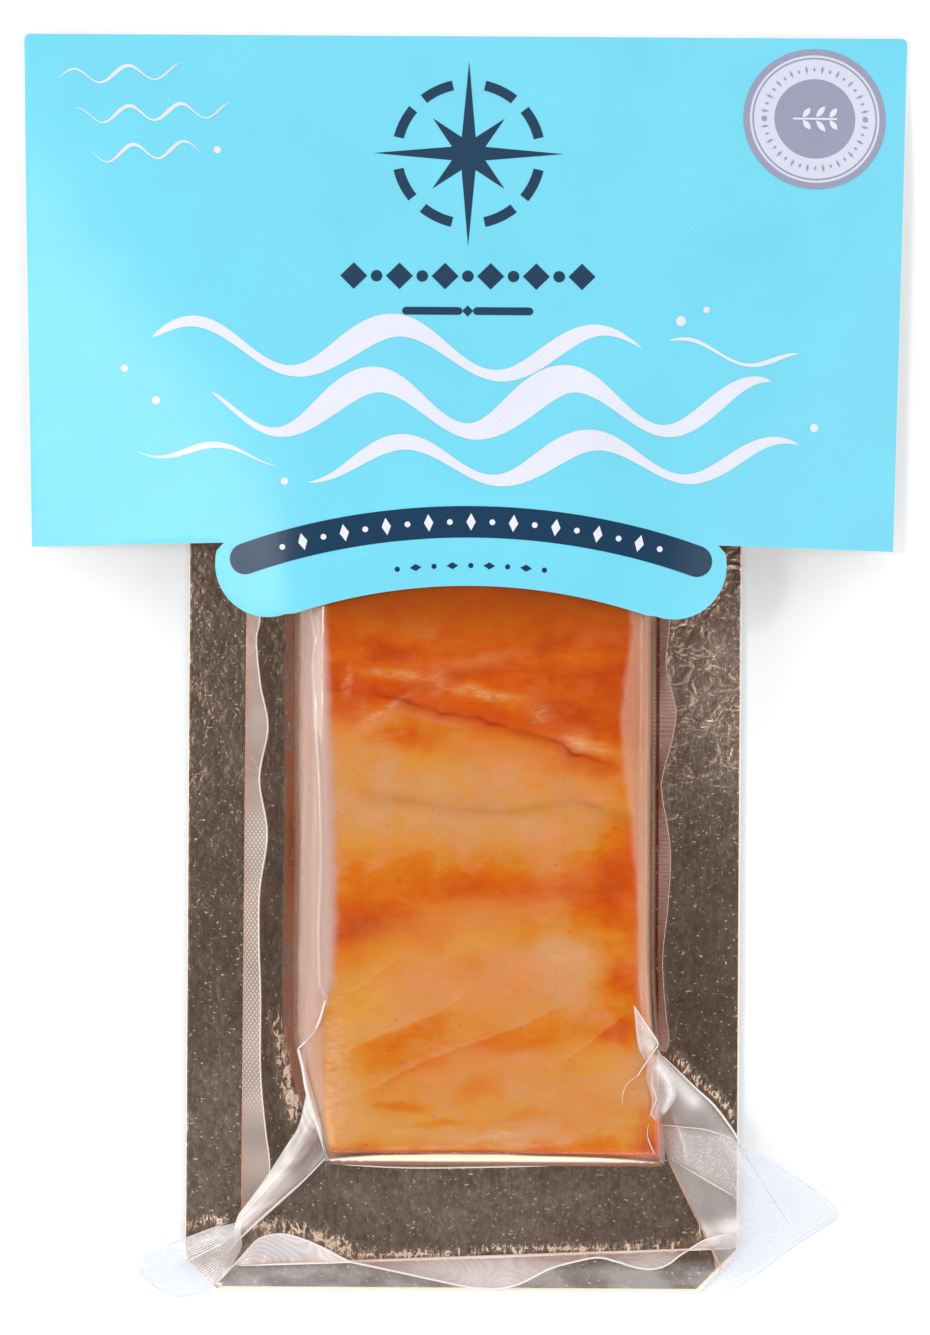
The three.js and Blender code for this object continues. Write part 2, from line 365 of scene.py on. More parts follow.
def mix_colour(tree, factor, a, b, blend="MIX"):
    made = add(tree, "ShaderNodeMix", data_type="RGBA", blend_type=blend)
    for index, value in ((0, factor), (6, a), (7, b)):
        if isinstance(value, bpy.types.NodeSocket):
            tree.links.new(value, made.inputs[index])
        elif index:
            made.inputs[index].default_value = (*value, 1.0)
        else:
            made.inputs[index].default_value = value
    return made.outputs[2]


def maths(tree, operation, a, b=0.0, clamped=False):
    made = add(tree, "ShaderNodeMath", {0: a, 1: b}, operation=operation, use_clamp=clamped)
    return made.outputs[0]


def times(tree, a, b, clamped=False):
    return maths(tree, "MULTIPLY", a, b, clamped)


def bump(tree, height, strength, distance_mm, normal=None):
    inputs = {"Height": height, "Strength": strength, "Distance": distance_mm / 1000}
    if normal:
        inputs["Normal"] = normal
    return add(tree, "ShaderNodeBump", inputs).outputs["Normal"]


def attribute(tree, name):
    return add(tree, "ShaderNodeAttribute", attribute_name=name).outputs["Fac"]


# Materials

def printed_card(name, colour):
    """Ink on card under a thin glossy laminate with a fine orange-peel texture."""
    material = new_material(name)
    tree = material.node_tree
    spot = coordinates(tree, (1, 1, 1))
    peel = noise_at(tree, spot, 2300, detail=2.0, roughness=0.6)
    waves = noise_at(tree, spot, 520, detail=5.0, roughness=0.75)
    surface = bump(tree, peel, 0.5, 0.026)
    laminate = bump(tree, waves, 1.0, 0.13)
    tone = level(tree, noise_at(tree, spot, 45, detail=4.0), 0.3, 0.7, 0.96, 1.02)
    tone = times(tree, tone, level(tree, peel, 0.3, 0.7, 0.975, 1.025))
    shade = mix_colour(tree, 1.0, colour, tone, "MULTIPLY")
    shader = add(tree, "ShaderNodeBsdfPrincipled", {
        "Base Color": shade, "Roughness": 0.6, "Specular IOR Level": 0.1, "Normal": surface,
        "Coat Weight": 0.5, "Coat Roughness": 0.1, "Coat Normal": laminate})
    finish_material(tree, shader.outputs[0])
    return material


def bare_card(name, colour):
    """Uncoated card: faint fibres, no gloss."""
    material = new_material(name)
    tree = material.node_tree
    spot = coordinates(tree, (1, 1, 1))
    fibre = noise_at(tree, spot, 900, detail=4.0, roughness=0.7)
    tone = level(tree, fibre, 0.3, 0.7, 0.93, 1.03)
    shade = mix_colour(tree, 1.0, colour, tone, "MULTIPLY")
    shader = add(tree, "ShaderNodeBsdfPrincipled", {
        "Base Color": shade, "Roughness": 0.8, "Normal": bump(tree, fibre, 0.3, 0.05)})
    finish_material(tree, shader.outputs[0])
    return material


def rim_highlight_mask(tree, place):
    """1 on the board's rounded rims, where a highlight is painted, as lines of
    (direction inwards, start in mm, width in mm).
    """
    left, right = BOARD["x"] - BOARD["width"] / 2, BOARD["x"] + BOARD["width"] / 2
    lower = BOARD["lower_y"] + SHIFT_Y
    corner = (right + -lower - BOARD["right_cut"]) * math.sqrt(0.5)
    lines = [((0, 1), lower, 0.8), ((-1, 0), -right, 0.4), ((1, 0), left, 0.2),
             ((-math.sqrt(0.5), math.sqrt(0.5)), -corner, 0.8)]
    mask = 0.0
    for (x, y), start, width in lines:
        inputs = {0: place, 1: (x, y, 0)}
        inwards = add(tree, "ShaderNodeVectorMath", inputs, operation="DOT_PRODUCT").outputs["Value"]
        line = level(tree, inwards, (start + width * 0.8) / 1000, (start + width) / 1000, 1.0, 0.0)
        mask = maths(tree, "MAXIMUM", mask, line)
    return mask


# Painted highlight: pale blotches on the foil's lower end
BLOTCH_HIGHLIGHT = (0.98, 0.88, 0.83)
# Painted shade between the foil's crinkles
CRINKLE_SHADE = (0.16, 0.09, 0.05)
# Painted glints: on sparks, crests and rims, and warmer on the crinkles
SPARK = (1.0, 0.86, 0.72)
CRINKLE_SPARK = (1.0, 0.76, 0.57)


def foil_patterns(tree, spot):
    """The foil's upright grain, soft dents, pits, crumples, and sharp wrinkles by the film's folds."""
    grain = noise_at(tree, coordinates(tree, (1, 0.4, 1)), 1500, roughness=0.7)
    dents = noise_at(tree, spot, 130)
    pits = noise_at(tree, coordinates(tree, (1, 0.8, 1)), 620, detail=4.0, roughness=0.6)
    crumples = noise_at(tree, coordinates(tree, (0.8, 1, 1)), 240, detail=2.0, distortion=0.7)
    wrinkles = noise_at(
        tree, coordinates(tree, (1, 0.5, 1)), 850, roughness=0.65, distortion=1.0)
    return grain, dents, pits, crumples, wrinkles


def foil_blotch_highlights(tree, upright):
    """Painted highlights: paler, partly matt blotches along the foil's lower end."""
    blotches = noise_at(tree, coordinates(tree, (0.6, 1, 1)), 170, detail=4.0)
    blotches = level(tree, blotches, 0.42, 0.6, 0.55, 1.0)
    pale = level(tree, upright, (SHIFT_Y - 128) / 1000, (SHIFT_Y - 131) / 1000, 0.0, 0.95)
    return times(tree, pale, blotches)


def foil_glint(tree, spot, wrinkles, crinkle):
    """Painted highlights: on the wrinkles' crests, at small sparks and on the board's rims."""
    sparks = noise_at(tree, coordinates(tree, (0.7, 1, 1)), 1700, detail=1.0)
    sparks = level(tree, sparks, 0.68, 0.74)
    crests = maths(tree, "ADD", wrinkles, times(tree, crinkle, 0.29))
    glint = level(tree, crests, 0.735, 0.765)
    glint = maths(tree, "MAXIMUM", glint, times(tree, sparks, 0.6))
    return maths(tree, "MAXIMUM", glint, rim_highlight_mask(tree, spot))


def bronze_foil():
    """Metallised foil on the board."""
    material = new_material("bronze_foil")
    tree = material.node_tree
    spot = coordinates(tree, (1, 1, 1))
    upright = add(tree, "ShaderNodeSeparateXYZ", {0: spot}).outputs[1]
    grain, dents, pits, crumples, wrinkles = foil_patterns(tree, spot)
    crinkle, pitted = attribute(tree, "crinkle"), attribute(tree, "pitted")
    crumpled = times(tree, crumples, maths(tree, "POWER", pitted, 2.5))
    surface = bump(tree, dents, 0.5, 0.9)
    surface = bump(tree, crumpled, 1.0, 0.68, surface)
    surface = bump(tree, times(tree, pits, pitted), 1.0, 0.3, surface)
    surface = bump(tree, grain, 0.5, 0.05, surface)
    surface = bump(tree, times(tree, wrinkles, crinkle), 1.0, 0.5, surface)
    tone = maths(tree, "ADD", times(tree, grain, 0.32), times(tree, dents, 0.2))
    tone = maths(tree, "ADD", tone, times(tree, pits, 0.24))
    # Painted reflection: the foil is made darker or lighter in patches
    tone = maths(tree, "SUBTRACT", tone, attribute(tree, "painted_reflection"))
    colour = ramp(
        tree, tone, (0.21, (0.24, 0.161, 0.118)), (0.38, (0.41, 0.291, 0.22)), (0.55, (0.72, 0.565, 0.46)))
    # Painted shade in the crinkles
    colour = mix_colour(tree, times(tree, crinkle, 0.45), colour, CRINKLE_SHADE)
    # Painted highlights in blotches along the lower end
    blotch_highlight = foil_blotch_highlights(tree, upright)
    colour = mix_colour(tree, blotch_highlight, colour, BLOTCH_HIGHLIGHT)
    glint = foil_glint(tree, spot, wrinkles, crinkle)
    # Painted glints: a matt bright colour
    colour = mix_colour(tree, glint, colour, mix_colour(tree, crinkle, SPARK, CRINKLE_SPARK))
    # Painted glints and highlight blotches are partly matt, so they stay bright whatever the foil mirrors
    matt = maths(tree, "MAXIMUM", glint, times(tree, blotch_highlight, 0.2))
    shader = add(tree, "ShaderNodeBsdfPrincipled", {
        "Base Color": colour, "Metallic": maths(tree, "SUBTRACT", 1.0, matt), "Roughness": 0.32,
        "Normal": surface})
    finish_material(tree, shader.outputs[0])
    return material


def mirror_share(tree, surface):
    """How much light a thin clear film mirrors, the same from both sides: little, except at a slant."""
    slant = add(tree, "ShaderNodeLayerWeight", {"Blend": 0.5, "Normal": surface}).outputs["Facing"]
    return level(tree, maths(tree, "POWER", slant, 4.0), 0.0, 1.0, 0.035, 1.0)


def film_patterns(tree, streaks, ribs, contours):
    """Patterns in a film from 0 to 1, each with its depth in mm and its share of the haze."""
    uv = add(tree, "ShaderNodeTexCoord").outputs["UV"]
    patterns = []
    if streaks:
        along = add(tree, "ShaderNodeMapping", {"Vector": uv, "Scale": (2.5, streaks, 1.0)}).outputs[0]
        lines = noise_at(tree, along, 1.0, detail=2.0, distortion=0.4)
        patterns.append((level(tree, lines, 0.3, 0.7), 0.35, 0.22))
    if any(ribs):
        inputs = {0: uv, 1: (*ribs, 0)}
        place = add(tree, "ShaderNodeVectorMath", inputs, operation="DOT_PRODUCT").outputs["Value"]
        wave = maths(tree, "SINE", times(tree, place, 2 * math.pi))
        wave = times(tree, wave, attribute(tree, "ribbed"))
        patterns.append((level(tree, wave, -1.0, 1.0), 0.06, 0.45))
    if contours:
        rise = noise_at(tree, coordinates(tree, (1, 1.6, 1)), 55, detail=0.0)
        wave = maths(tree, "SINE", times(tree, rise, 2 * math.pi * contours))
        patterns.append((level(tree, wave, -1.0, 1.0), 0.05, 0.11))
    return patterns


def film_dots(tree, spot, rows):
    """Light dots from 0 to 1: in rows of (spacing across, spacing along) in mm, or else scattered."""
    if not rows:
        return level(tree, noise_at(tree, spot, 2300, detail=1.0), 0.52, 0.66)
    place = add(tree, "ShaderNodeSeparateXYZ", {0: spot})
    waves = []
    for axis, spacing in enumerate(rows):
        turns = times(tree, place.outputs[axis], 2 * math.pi * 1000 / spacing)
        waves.append(maths(tree, "SINE", turns))
    return level(tree, times(tree, *waves), 0.1, 0.6)


OVER_FLOOR = (0.74, 0.79, 0.97)
BLUSH = (0.86, 0.43, 0.28)
# Painted reflection of the fillet's orange in the foil, and painted brown shade at the block's foot
ORANGE_REFLECTION = (0.42, 0.135, 0.06)
BROWN_SHADE = (0.10, 0.024, 0.012)
GLITTER = (0.95, 0.68, 0.46)
HIGHLIGHT = (0.99, 0.95, 0.92)
GOLDEN_HIGHLIGHT = (0.97, 0.72, 0.36)
WARM_MILK = (0.72, 0.56, 0.48)


def film_milk(tree, warm, bright):
    """The colour of the film where it is milky."""
    stained = attribute(tree, "stained")
    # Painted glints on the dark lines at the block's foot
    glitter = noise_at(tree, coordinates(tree, (1, 0.4, 1)), 2600, detail=1.0)
    glitter = level(tree, glitter, 0.60, 0.70)
    glitter = times(tree, glitter, level(tree, stained, 0.6, 0.9, 0.0, 0.55))
    layers = (
        (attribute(tree, "cool"), OVER_FLOOR), (attribute(tree, "blush"), BLUSH),
        (level(tree, stained, 0.0, 0.5), ORANGE_REFLECTION), (level(tree, stained, 0.5, 1.0), BROWN_SHADE),
        (glitter, GLITTER), (bright, HIGHLIGHT), (attribute(tree, "golden"), GOLDEN_HIGHLIGHT))
    colour = warm
    for share, tint in layers:
        colour = mix_colour(tree, share, colour, tint)
    return colour


def clear_film(name, streaks=0.0, ribs=(0.0, 0.0), contours=0.0, rows=None, warm=WARM_MILK):
    """Clear film: see-through, glossy at a slant, and milky where the haze number says.

    Streaks run along the piece's U axis, ribs are counted along U and V and show where it is ribbed,
    and contours are fine closed lines. Over the floor the milk is cool. Frosted film has light dots,
    painted as sparkles. Bright film is painted with a white highlight and glaring film with a golden
    one. At the block's foot the milk is painted with the fillet's orange as mirrored in the foil, then
    with dark brown shade, with painted glints.
    """
    material = new_material(name)
    tree = material.node_tree
    spot = coordinates(tree, (1, 1, 1))
    surface = bump(tree, noise_at(tree, spot, 170), 0.3, 0.5)
    haze, bright = attribute(tree, "haze"), attribute(tree, "bright")
    for pattern, depth, share in film_patterns(tree, streaks, ribs, contours):
        surface = bump(tree, pattern, 0.35, depth, surface)
        haze = times(tree, haze, level(tree, pattern, 0.0, 1.0, 1 - share, 1 + share), True)
    # The frosted dots are painted sparkles: they add to the haze and paint highlights
    dots = times(tree, film_dots(tree, spot, rows), attribute(tree, "frosted"))
    haze = maths(tree, "ADD", haze, times(tree, dots, 0.25), True)
    bright = maths(tree, "ADD", bright, times(tree, dots, 0.8), True)
    milk_colour = film_milk(tree, warm, bright)
    clear = add(tree, "ShaderNodeBsdfTransparent", {"Color": (0.985, 0.98, 0.975, 1)})
    gloss = add(tree, "ShaderNodeBsdfGlossy", {"Color": (1, 1, 1, 1), "Roughness": 0.1, "Normal": surface})
    mirrored = mirror_share(tree, surface)
    skin = add(tree, "ShaderNodeMixShader", {0: mirrored, 1: clear.outputs[0], 2: gloss.outputs[0]})
    milk = add(tree, "ShaderNodeBsdfPrincipled", {
        "Base Color": milk_colour, "Roughness": 0.24, "Normal": surface})
    whole = add(tree, "ShaderNodeMixShader", {0: haze, 1: skin.outputs[0], 2: milk.outputs[0]})
    finish_material(tree, whole.outputs[0])
    return material


# Colours that the painted numbers of the flesh lay over it, in this order
FLESH_TINTS = dict(
    pink=(0.745, 0.27, 0.075), gold=(0.76, 0.345, 0.045), red=(0.64, 0.055, 0.001),
    brown=(0.30, 0.055, 0.002), tan=(0.55, 0.23, 0.098), rind=(0.74, 0.44, 0.325))
ROSY = (0.78, 0.31, 0.15)
HONEY = (0.76, 0.30, 0.025)
PALE_FAT = (0.80, 0.42, 0.21)
RED_CREASE = (0.40, 0.024, 0.003)
SPECK = (0.30, 0.08, 0.02)


def smoked_colour(tree, depth):
    """Flesh colour for a depth of smoke: pale where there is none, then orange, then red-brown."""
    colour = ramp(
        tree, depth,
        (0.0, (0.70, 0.345, 0.145)), (0.25, (0.715, 0.275, 0.052)), (0.5, (0.71, 0.185, 0.004)),
        (0.75, (0.68, 0.108, 0.0005)), (1.0, (0.55, 0.06, 0.0005)))
    hue = noise_at(tree, coordinates(tree, (0.8, 1.2, 1)), 95, distortion=0.6)
    paleness = level(tree, depth, 0.3, 0.7, 1.0, 0.3)
    rosy = times(tree, level(tree, hue, 0.52, 0.68, 0.0, 0.5), paleness)
    colour = mix_colour(tree, rosy, colour, ROSY)
    honey = times(tree, level(tree, hue, 0.48, 0.32, 0.0, 0.5), paleness)
    return mix_colour(tree, honey, colour, HONEY)


def smoked_flesh():
    """Moist fillet: pale oily flesh, orange where the smoke coloured it, with creases and pale fat."""
    material = new_material("smoked_flesh")
    tree = material.node_tree
    spot = coordinates(tree, (1, 1, 1))
    fibre = noise_at(
        tree, coordinates(tree, (0.75, 1.35, 1)), 260, detail=6.0, roughness=0.62, distortion=0.8)
    strands = noise_at(tree, coordinates(tree, (0.5, 1.5, 1)), 800, roughness=0.6)
    mottle = noise_at(tree, spot, 120, detail=5.0, roughness=0.56)
    grain = noise_at(tree, spot, 480, detail=5.0, roughness=0.7)
    depth = attribute(tree, "smoke")
    for pattern, share in ((mottle, 0.55), (fibre, 0.33), (strands, 0.22), (grain, 0.32)):
        uneven = times(tree, maths(tree, "SUBTRACT", pattern, 0.5), share)
        depth = maths(tree, "ADD", depth, uneven)
    colour = smoked_colour(tree, depth)
    for name, tint in FLESH_TINTS.items():
        colour = mix_colour(tree, attribute(tree, name), colour, tint)
    fat = times(tree, attribute(tree, "fat"), level(tree, strands, 0.36, 0.64, 0.1, 1.3), True)
    colour = mix_colour(tree, fat, colour, PALE_FAT)
    crease = times(tree, attribute(tree, "crease"), level(tree, mottle, 0.3, 0.6, 0.4, 1.1), True)
    colour = mix_colour(tree, crease, colour, RED_CREASE)
    specks = level(tree, noise_at(tree, spot, 900, detail=1.0), 0.73, 0.78)
    colour = mix_colour(tree, times(tree, specks, 0.3), colour, SPECK)
    colour = mix_colour(tree, 1.0, colour, level(tree, grain, 0.3, 0.7, 0.93, 1.05), "MULTIPLY")
    surface = bump(tree, fibre, 0.3, 0.3, bump(tree, mottle, 0.25, 0.8))
    surface = bump(tree, grain, 0.35, 0.12, surface)
    shader = add(tree, "ShaderNodeBsdfPrincipled", {
        "Base Color": colour, "Roughness": 0.35, "Normal": surface, "Specular IOR Level": 0.12,
        "Subsurface Weight": 0.1, "Subsurface Radius": (0.004, 0.0018, 0.0008), "Subsurface Scale": 1.0})
    finish_material(tree, shader.outputs[0])
    return material


# Card header

def arc(x, y, radius, start, end, steps):
    """Points on an arc, in degrees, both ends kept."""
    angles = [math.radians(mix(start, end, step / steps)) for step in range(steps + 1)]
    return [(x + radius * math.cos(a), y + radius * math.sin(a)) for a in angles]


def panel_top():
    """The panel's two upper corners, from right to left."""
    upper, radius = CARD["upper"], CARD["round"]
    right = arc(upper - radius, FOLD_Y - radius, radius, 0, 90, 4)
    left = arc(radius - upper, FOLD_Y - radius, radius, 90, 180, 4)
    return right + left


def front_outline():
    arch_centre = TONGUE["arch_y"] - TONGUE["arch_radius"]
    lobe_angle = math.degrees(math.atan2(TONGUE["y"] - arch_centre, TONGUE["spread"]))
    left_x = TONGUE["x"] - TONGUE["spread"]
    right_x = TONGUE["x"] + TONGUE["spread"]
    notch = TONGUE["radius"] - TONGUE["notch"]
    start = TONGUE["lobe_start"]
    left_lobe = arc(left_x, TONGUE["y"], TONGUE["radius"], start, 360 - lobe_angle, 24)
    arch = arc(TONGUE["x"], arch_centre, TONGUE["arch_radius"], 180 - lobe_angle, lobe_angle, 40)
    right_lobe = arc(right_x, TONGUE["y"], TONGUE["radius"], 180 + lobe_angle, 540 - start, 24)
    lower_left = [(-CARD["lower"], CARD["lower_y"]), (left_x - notch, CARD["notch_y"])]
    lower_right = [(right_x + notch, CARD["notch_y"]), (CARD["lower"], CARD["lower_y"])]
    return panel_top() + lower_left + left_lobe + arch[1:-1] + right_lobe + lower_right


def card_panel(outline, height, printed_up):
    """A panel of card, printed on its outer face. The bare core shows at the cut edges."""
    bm = drape(slice_up(flat_shape(outline), CARD_SLICE), height)
    thicken(bm, CARD["thick"])
    for face in bm.faces:
        outer = face.normal.z > 0.5 if printed_up else face.normal.z < -0.5
        face.material_index = 0 if outer else 1
    for face in round_rim(bm, offset=0.24, segments=2, material=1):
        face.material_index = 1
    return smooth_faces(bm)


def fold_roll():
    """The rounded fold between the two panels."""
    bm = bmesh.new()
    radius = (CARD["thick"] * 2 - 0.2) / 2
    length = 2 * (CARD["upper"] - CARD["round"])
    lie_along_x = Matrix.Rotation(math.radians(90), 4, "Y")
    place = Matrix.Translation((0, FOLD_Y - radius, radius))
    bmesh.ops.create_cone(
        bm, cap_ends=True, segments=20, radius1=radius, radius2=radius, depth=length,
        matrix=place @ lie_along_x)
    return smooth_faces(bm)


def header_pieces(ink, core):
    front = piece("header_front", card_panel(front_outline(), tent_height, True), "card", ink, core)
    back_outline = panel_top() + [(-CARD["lower"], CARD["back_y"]), (CARD["lower"], CARD["back_y"])]
    back = piece("header_back", card_panel(back_outline, lambda x, y: 0.0, False), "card_inside", ink, core)
    fold = piece("header_fold", fold_roll(), "card", ink)
    for part in (front, back, fold):
        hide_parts("header_card")


# Print on the header, as thin shapes that follow the card

def printed(name, slot, material, outlines, layer=1):
    """Printed shapes that lie just above the card, or above the print below them."""
    bm = slice_up(flat_shape(*outlines), CARD_SLICE)
    lift = CARD["thick"] + INK_LIFT * layer
    drape(bm, lambda x, y: tent_height(x, y) + lift)
    for face in bm.faces:
        face.smooth = True
        if face.normal.z < 0:
            face.normal_flip()
    return piece(name, bm, slot, material)


def disc(x, y, radius, steps=60):
    return arc(x, y, radius, 0, 360 - 360 / steps, steps - 1)


def ring_part(x, y, outer, inner, start, end, steps=40):
    return arc(x, y, outer, start, end, steps) + arc(x, y, inner, end, start, steps)


def ring(x, y, outer, inner):
    """A ring as two halves."""
    return [ring_part(x, y, outer, inner, start, start + 180) for start in (0, 180)]


def diamond(x, y, half_width, half_height, turn=0.0):
    """A lozenge, turned by some degrees about its middle."""
    c, s = math.cos(math.radians(turn)), math.sin(math.radians(turn))
    corners = [(half_width, 0), (0, half_height), (-half_width, 0), (0, -half_height)]
    return [(x + a * c - b * s, y + a * s + b * c) for a, b in corners]


def rounded_bar(x, y, half_length, half_width):
    right = arc(x + half_length, y, half_width, -90, 90, 10)
    left = arc(x - half_length, y, half_width, 90, 270, 10)
    return right + left


def star(x, y, rays, waist):
    """A star with rays of the given lengths, the first upright, and waist the radius between them."""
    points = []
    for index, ray in enumerate(rays):
        for step, radius in ((0, ray), (0.5, waist)):
            angle = math.radians(90 - 360 * (index + step) / len(rays))
            points.append((x + radius * math.cos(angle), y + radius * math.sin(angle)))
    return points


def stroke(centre_at, width_at, steps=60):
    """The outline of a brush stroke along centre_at(t), t from 0 to 1."""
    left, right = [], []
    for step in range(steps + 1):
        t = step / steps
        here = Vector(centre_at(t))
        ahead = Vector(centre_at(t + 0.001)) - Vector(centre_at(t - 0.001))
        across = Vector((-ahead.y, ahead.x)).normalized() * width_at(t) / 2
        left.append(tuple(here + across))
        right.append(tuple(here - across))
    return right + left[::-1]


def wave_stroke(start, end, swing, waves, width, phase=0.0, drift=0.0):
    """A brush-drawn wave that swells and thins along its length."""
    def centre_at(t):
        lift = swing * math.sin(2 * math.pi * (waves * t + phase)) + drift * math.sin(math.pi * t)
        return mix(start[0], end[0], t), mix(start[1], end[1], t) + lift

    def width_at(t):
        taper = clamp(math.sin(math.pi * clamp(t))) ** 0.55
        swell = 1 + 0.45 * math.sin(2 * math.pi * (waves * t + phase) + 0.9)
        return max(width * taper * swell, 0.12)

    return stroke(centre_at, width_at, 90)


BAND_RADIUS = 148.0
BAND_Y = 31.0
BAND_REACH = 19.0
BEAD_TURN = 1.75
DOT_TURN = 1.62
DOTS_BELOW = 9.3


def along_band(degrees, radius=BAND_RADIUS):
    """A point on the band, some degrees to the right of its middle."""
    angle = math.radians(90 - degrees)
    return TONGUE["x"] + radius * math.cos(angle), BAND_Y - BAND_RADIUS + radius * math.sin(angle)


def band_outline():
    """The dark band along the tongue, an arc with round ends."""
    half = 3.35
    centre_y = BAND_Y - BAND_RADIUS
    low, high = 90 - BAND_REACH, 90 + BAND_REACH
    upper = arc(TONGUE["x"], centre_y, BAND_RADIUS + half, low, high, 60)
    lower = arc(TONGUE["x"], centre_y, BAND_RADIUS - half, high, low, 60)
    left = arc(*along_band(-BAND_REACH), half, high, high + 180, 12)
    right = arc(*along_band(BAND_REACH), half, low - 180, low, 12)
    return upper + left[1:-1] + lower + right[1:-1]


def band_prints(navy, white):
    printed("print_band", "navy_print", navy, [band_outline()])
    beads = []
    for index in range(-9, 10):
        degrees = index * BEAD_TURN
        if index % 2:
            beads.append(disc(*along_band(degrees), 0.62, 16))
        else:
            beads.append(diamond(*along_band(degrees), 1.0, 1.85, -degrees))
    printed("print_band_beads", "white_print", white, beads, 2)
    dots = []
    for index in range(-4, 5):
        x, y = along_band(index * DOT_TURN, BAND_RADIUS - DOTS_BELOW)
        dots.append(diamond(x, y, 1.25, 0.75, -index * 1.6) if index % 2 else disc(x, y, 0.55, 16))
    printed("print_tongue_dots", "navy_print", navy, dots)


COMPASS = (0.8, 111.0)
BORDER_Y = 84.0
BARS_Y = 76.4


def compass_prints(navy):
    """A compass star with a broken ring, over a border of lozenges and a bar."""
    x, y = COMPASS
    shapes = [star(x, y, [20.5, 11.0] * 4, 3.9)]
    for start in (0, 90, 180, 270):
        for low, high in ((13, 39), (51, 77)):
            shapes.append(ring_part(x, y, 16.6, 14.4, start + low, start + high, 16))
    printed("print_compass", "navy_print", navy, shapes)
    border = []
    for index in range(-5, 6):
        place = (x + index * 4.9, BORDER_Y)
        border.append(diamond(*place, 2.9, 2.9) if index % 2 else disc(*place, 1.25, 24))
    for side in (-1, 1):
        border.append(rounded_bar(x + side * 7.6, BARS_Y, 5.6, 0.85))
    border.append(diamond(x, BARS_Y, 1.2, 1.2))
    printed("print_border", "navy_print", navy, border)


# Brush-drawn waves: start, end, swing, number of waves, width and phase
BRUSH_WAVES = [
    ((-67, 69), (38, 67), 5.2, 2.4, 3.9, 0.05), ((-54, 55.5), (66, 56.5), 5.6, 2.9, 5.0, 0.4),
    ((-33, 43.5), (72, 45), 4.2, 2.6, 3.6, 0.75), ((44, 69), (72, 66), 2.0, 1.1, 1.0, 0.1),
    ((-70, 47), (-40, 44.5), 1.8, 1.1, 1.0, 0.6)]

# Drops beside them: middle and radius
SPRAY = [
    (46.5, 74.5, 1.1), (52, 77, 0.7), (-73, 64, 0.8), (-66, 57, 0.9), (-38, 39.5, 0.8), (75.5, 52, 0.9)]


def brush_prints(white):
    """Brush-drawn waves across the middle of the header."""
    shapes = [wave_stroke(*wave) for wave in BRUSH_WAVES]
    shapes += [disc(*drop, 20) for drop in SPRAY]
    printed("print_waves", "white_print", white, shapes)


def corner_prints(white):
    """Thin wavy lines in the header's upper left corner."""
    lines = []
    for row, (left, right, waves) in enumerate(((-88, -62, 2.2), (-84.5, -51, 3.0), (-81, -57, 2.2))):
        y = 127.5 - 8.6 * row
        lines.append(wave_stroke((left, y), (right, y + 1.6), 1.7, waves, 0.62, 0.2 * row))
    lines.append(disc(-53.5, 111.5, 0.8, 20))
    printed("print_corner_lines", "white_print", white, lines)


BADGE = (75.7, 119.2)


def badge_ticks(x, y):
    """Ticks round the badge, long and short in turn, with a dot on each side."""
    ticks = []
    for index in range(40):
        degrees = index * 9
        angle = math.radians(degrees)
        if degrees % 180 == 0:
            ticks.append(disc(x + 11 * math.cos(angle), y, 0.6, 16))
            continue
        reach, half = (11.0, 0.95) if index % 2 else (10.9, 0.5)
        ticks.append(diamond(x + reach * math.cos(angle), y + reach * math.sin(angle), half, 0.28, degrees))
    return ticks


def leaf(x, y, length, angle):
    """A short brush stroke about its middle."""
    def centre_at(t):
        reach = (t - 0.5) * length
        return x + reach * math.cos(angle), y + reach * math.sin(angle)

    def width_at(t):
        return max(1.25 * math.sin(math.pi * clamp(t)) ** 0.8, 0.04)

    return stroke(centre_at, width_at, 14)


def sprig(x, y):
    """A stem with three pairs of leaves."""
    shapes = [rounded_bar(x, y, 4.6, 0.22)]
    for index, length in enumerate((2.6, 3.1, 2.6)):
        for side in (-1, 1):
            angle = math.radians(side * 52)
            leaf_x = x - 3.0 + index * 2.9 + length * 0.5 * math.cos(angle) + 0.4
            leaf_y = y + length * 0.62 * math.sin(angle) * 1.05
            shapes.append(leaf(leaf_x, leaf_y, length, angle))
    return shapes


def badge_prints(grey, pale, white):
    """A round badge: rings, a rim of ticks and a sprig of leaves."""
    x, y = BADGE
    rings = ring(x, y, 15.5, 14.1) + ring(x, y, 13.6, 13.2) + [disc(x, y, 8.8)]
    printed("badge_rings", "grey_print", grey, rings)
    printed("badge_field", "white_print", pale, ring(x, y, 14.1, 13.6) + ring(x, y, 13.2, 8.8))
    printed("badge_ticks", "grey_print", grey, badge_ticks(x, y), 2)
    printed("badge_leaves", "white_print", white, sprig(x, y), 2)


# Backing board

# Where the film's folds crinkle the foil, as lines from left to right. There the foil is bumped,
# with painted shade and painted glints
CRINKLES = [
    ([(-39.5, -76), (-38.2, -83), (-37.2, -90), (-35.6, -97)], 2.2),
    ([(-58.5, -122), (-55, -120.6), (-50.3, -120.4)], 0.9),
    ([(-44.7, -121.4), (-39.3, -121.6), (-34.5, -122.7), (-29.2, -124.4), (-22, -127.2)], 1.9),
    ([(46.8, -84.4), (51, -88.5), (54.5, -91.4), (58.9, -96.5)], 1.3),
    ([(52.5, -122.8), (60, -119.8)], 1.3),
    ([(-22, -127.9), (0, -127.0), (22, -126.1), (48, -125.0)], 0.9)]

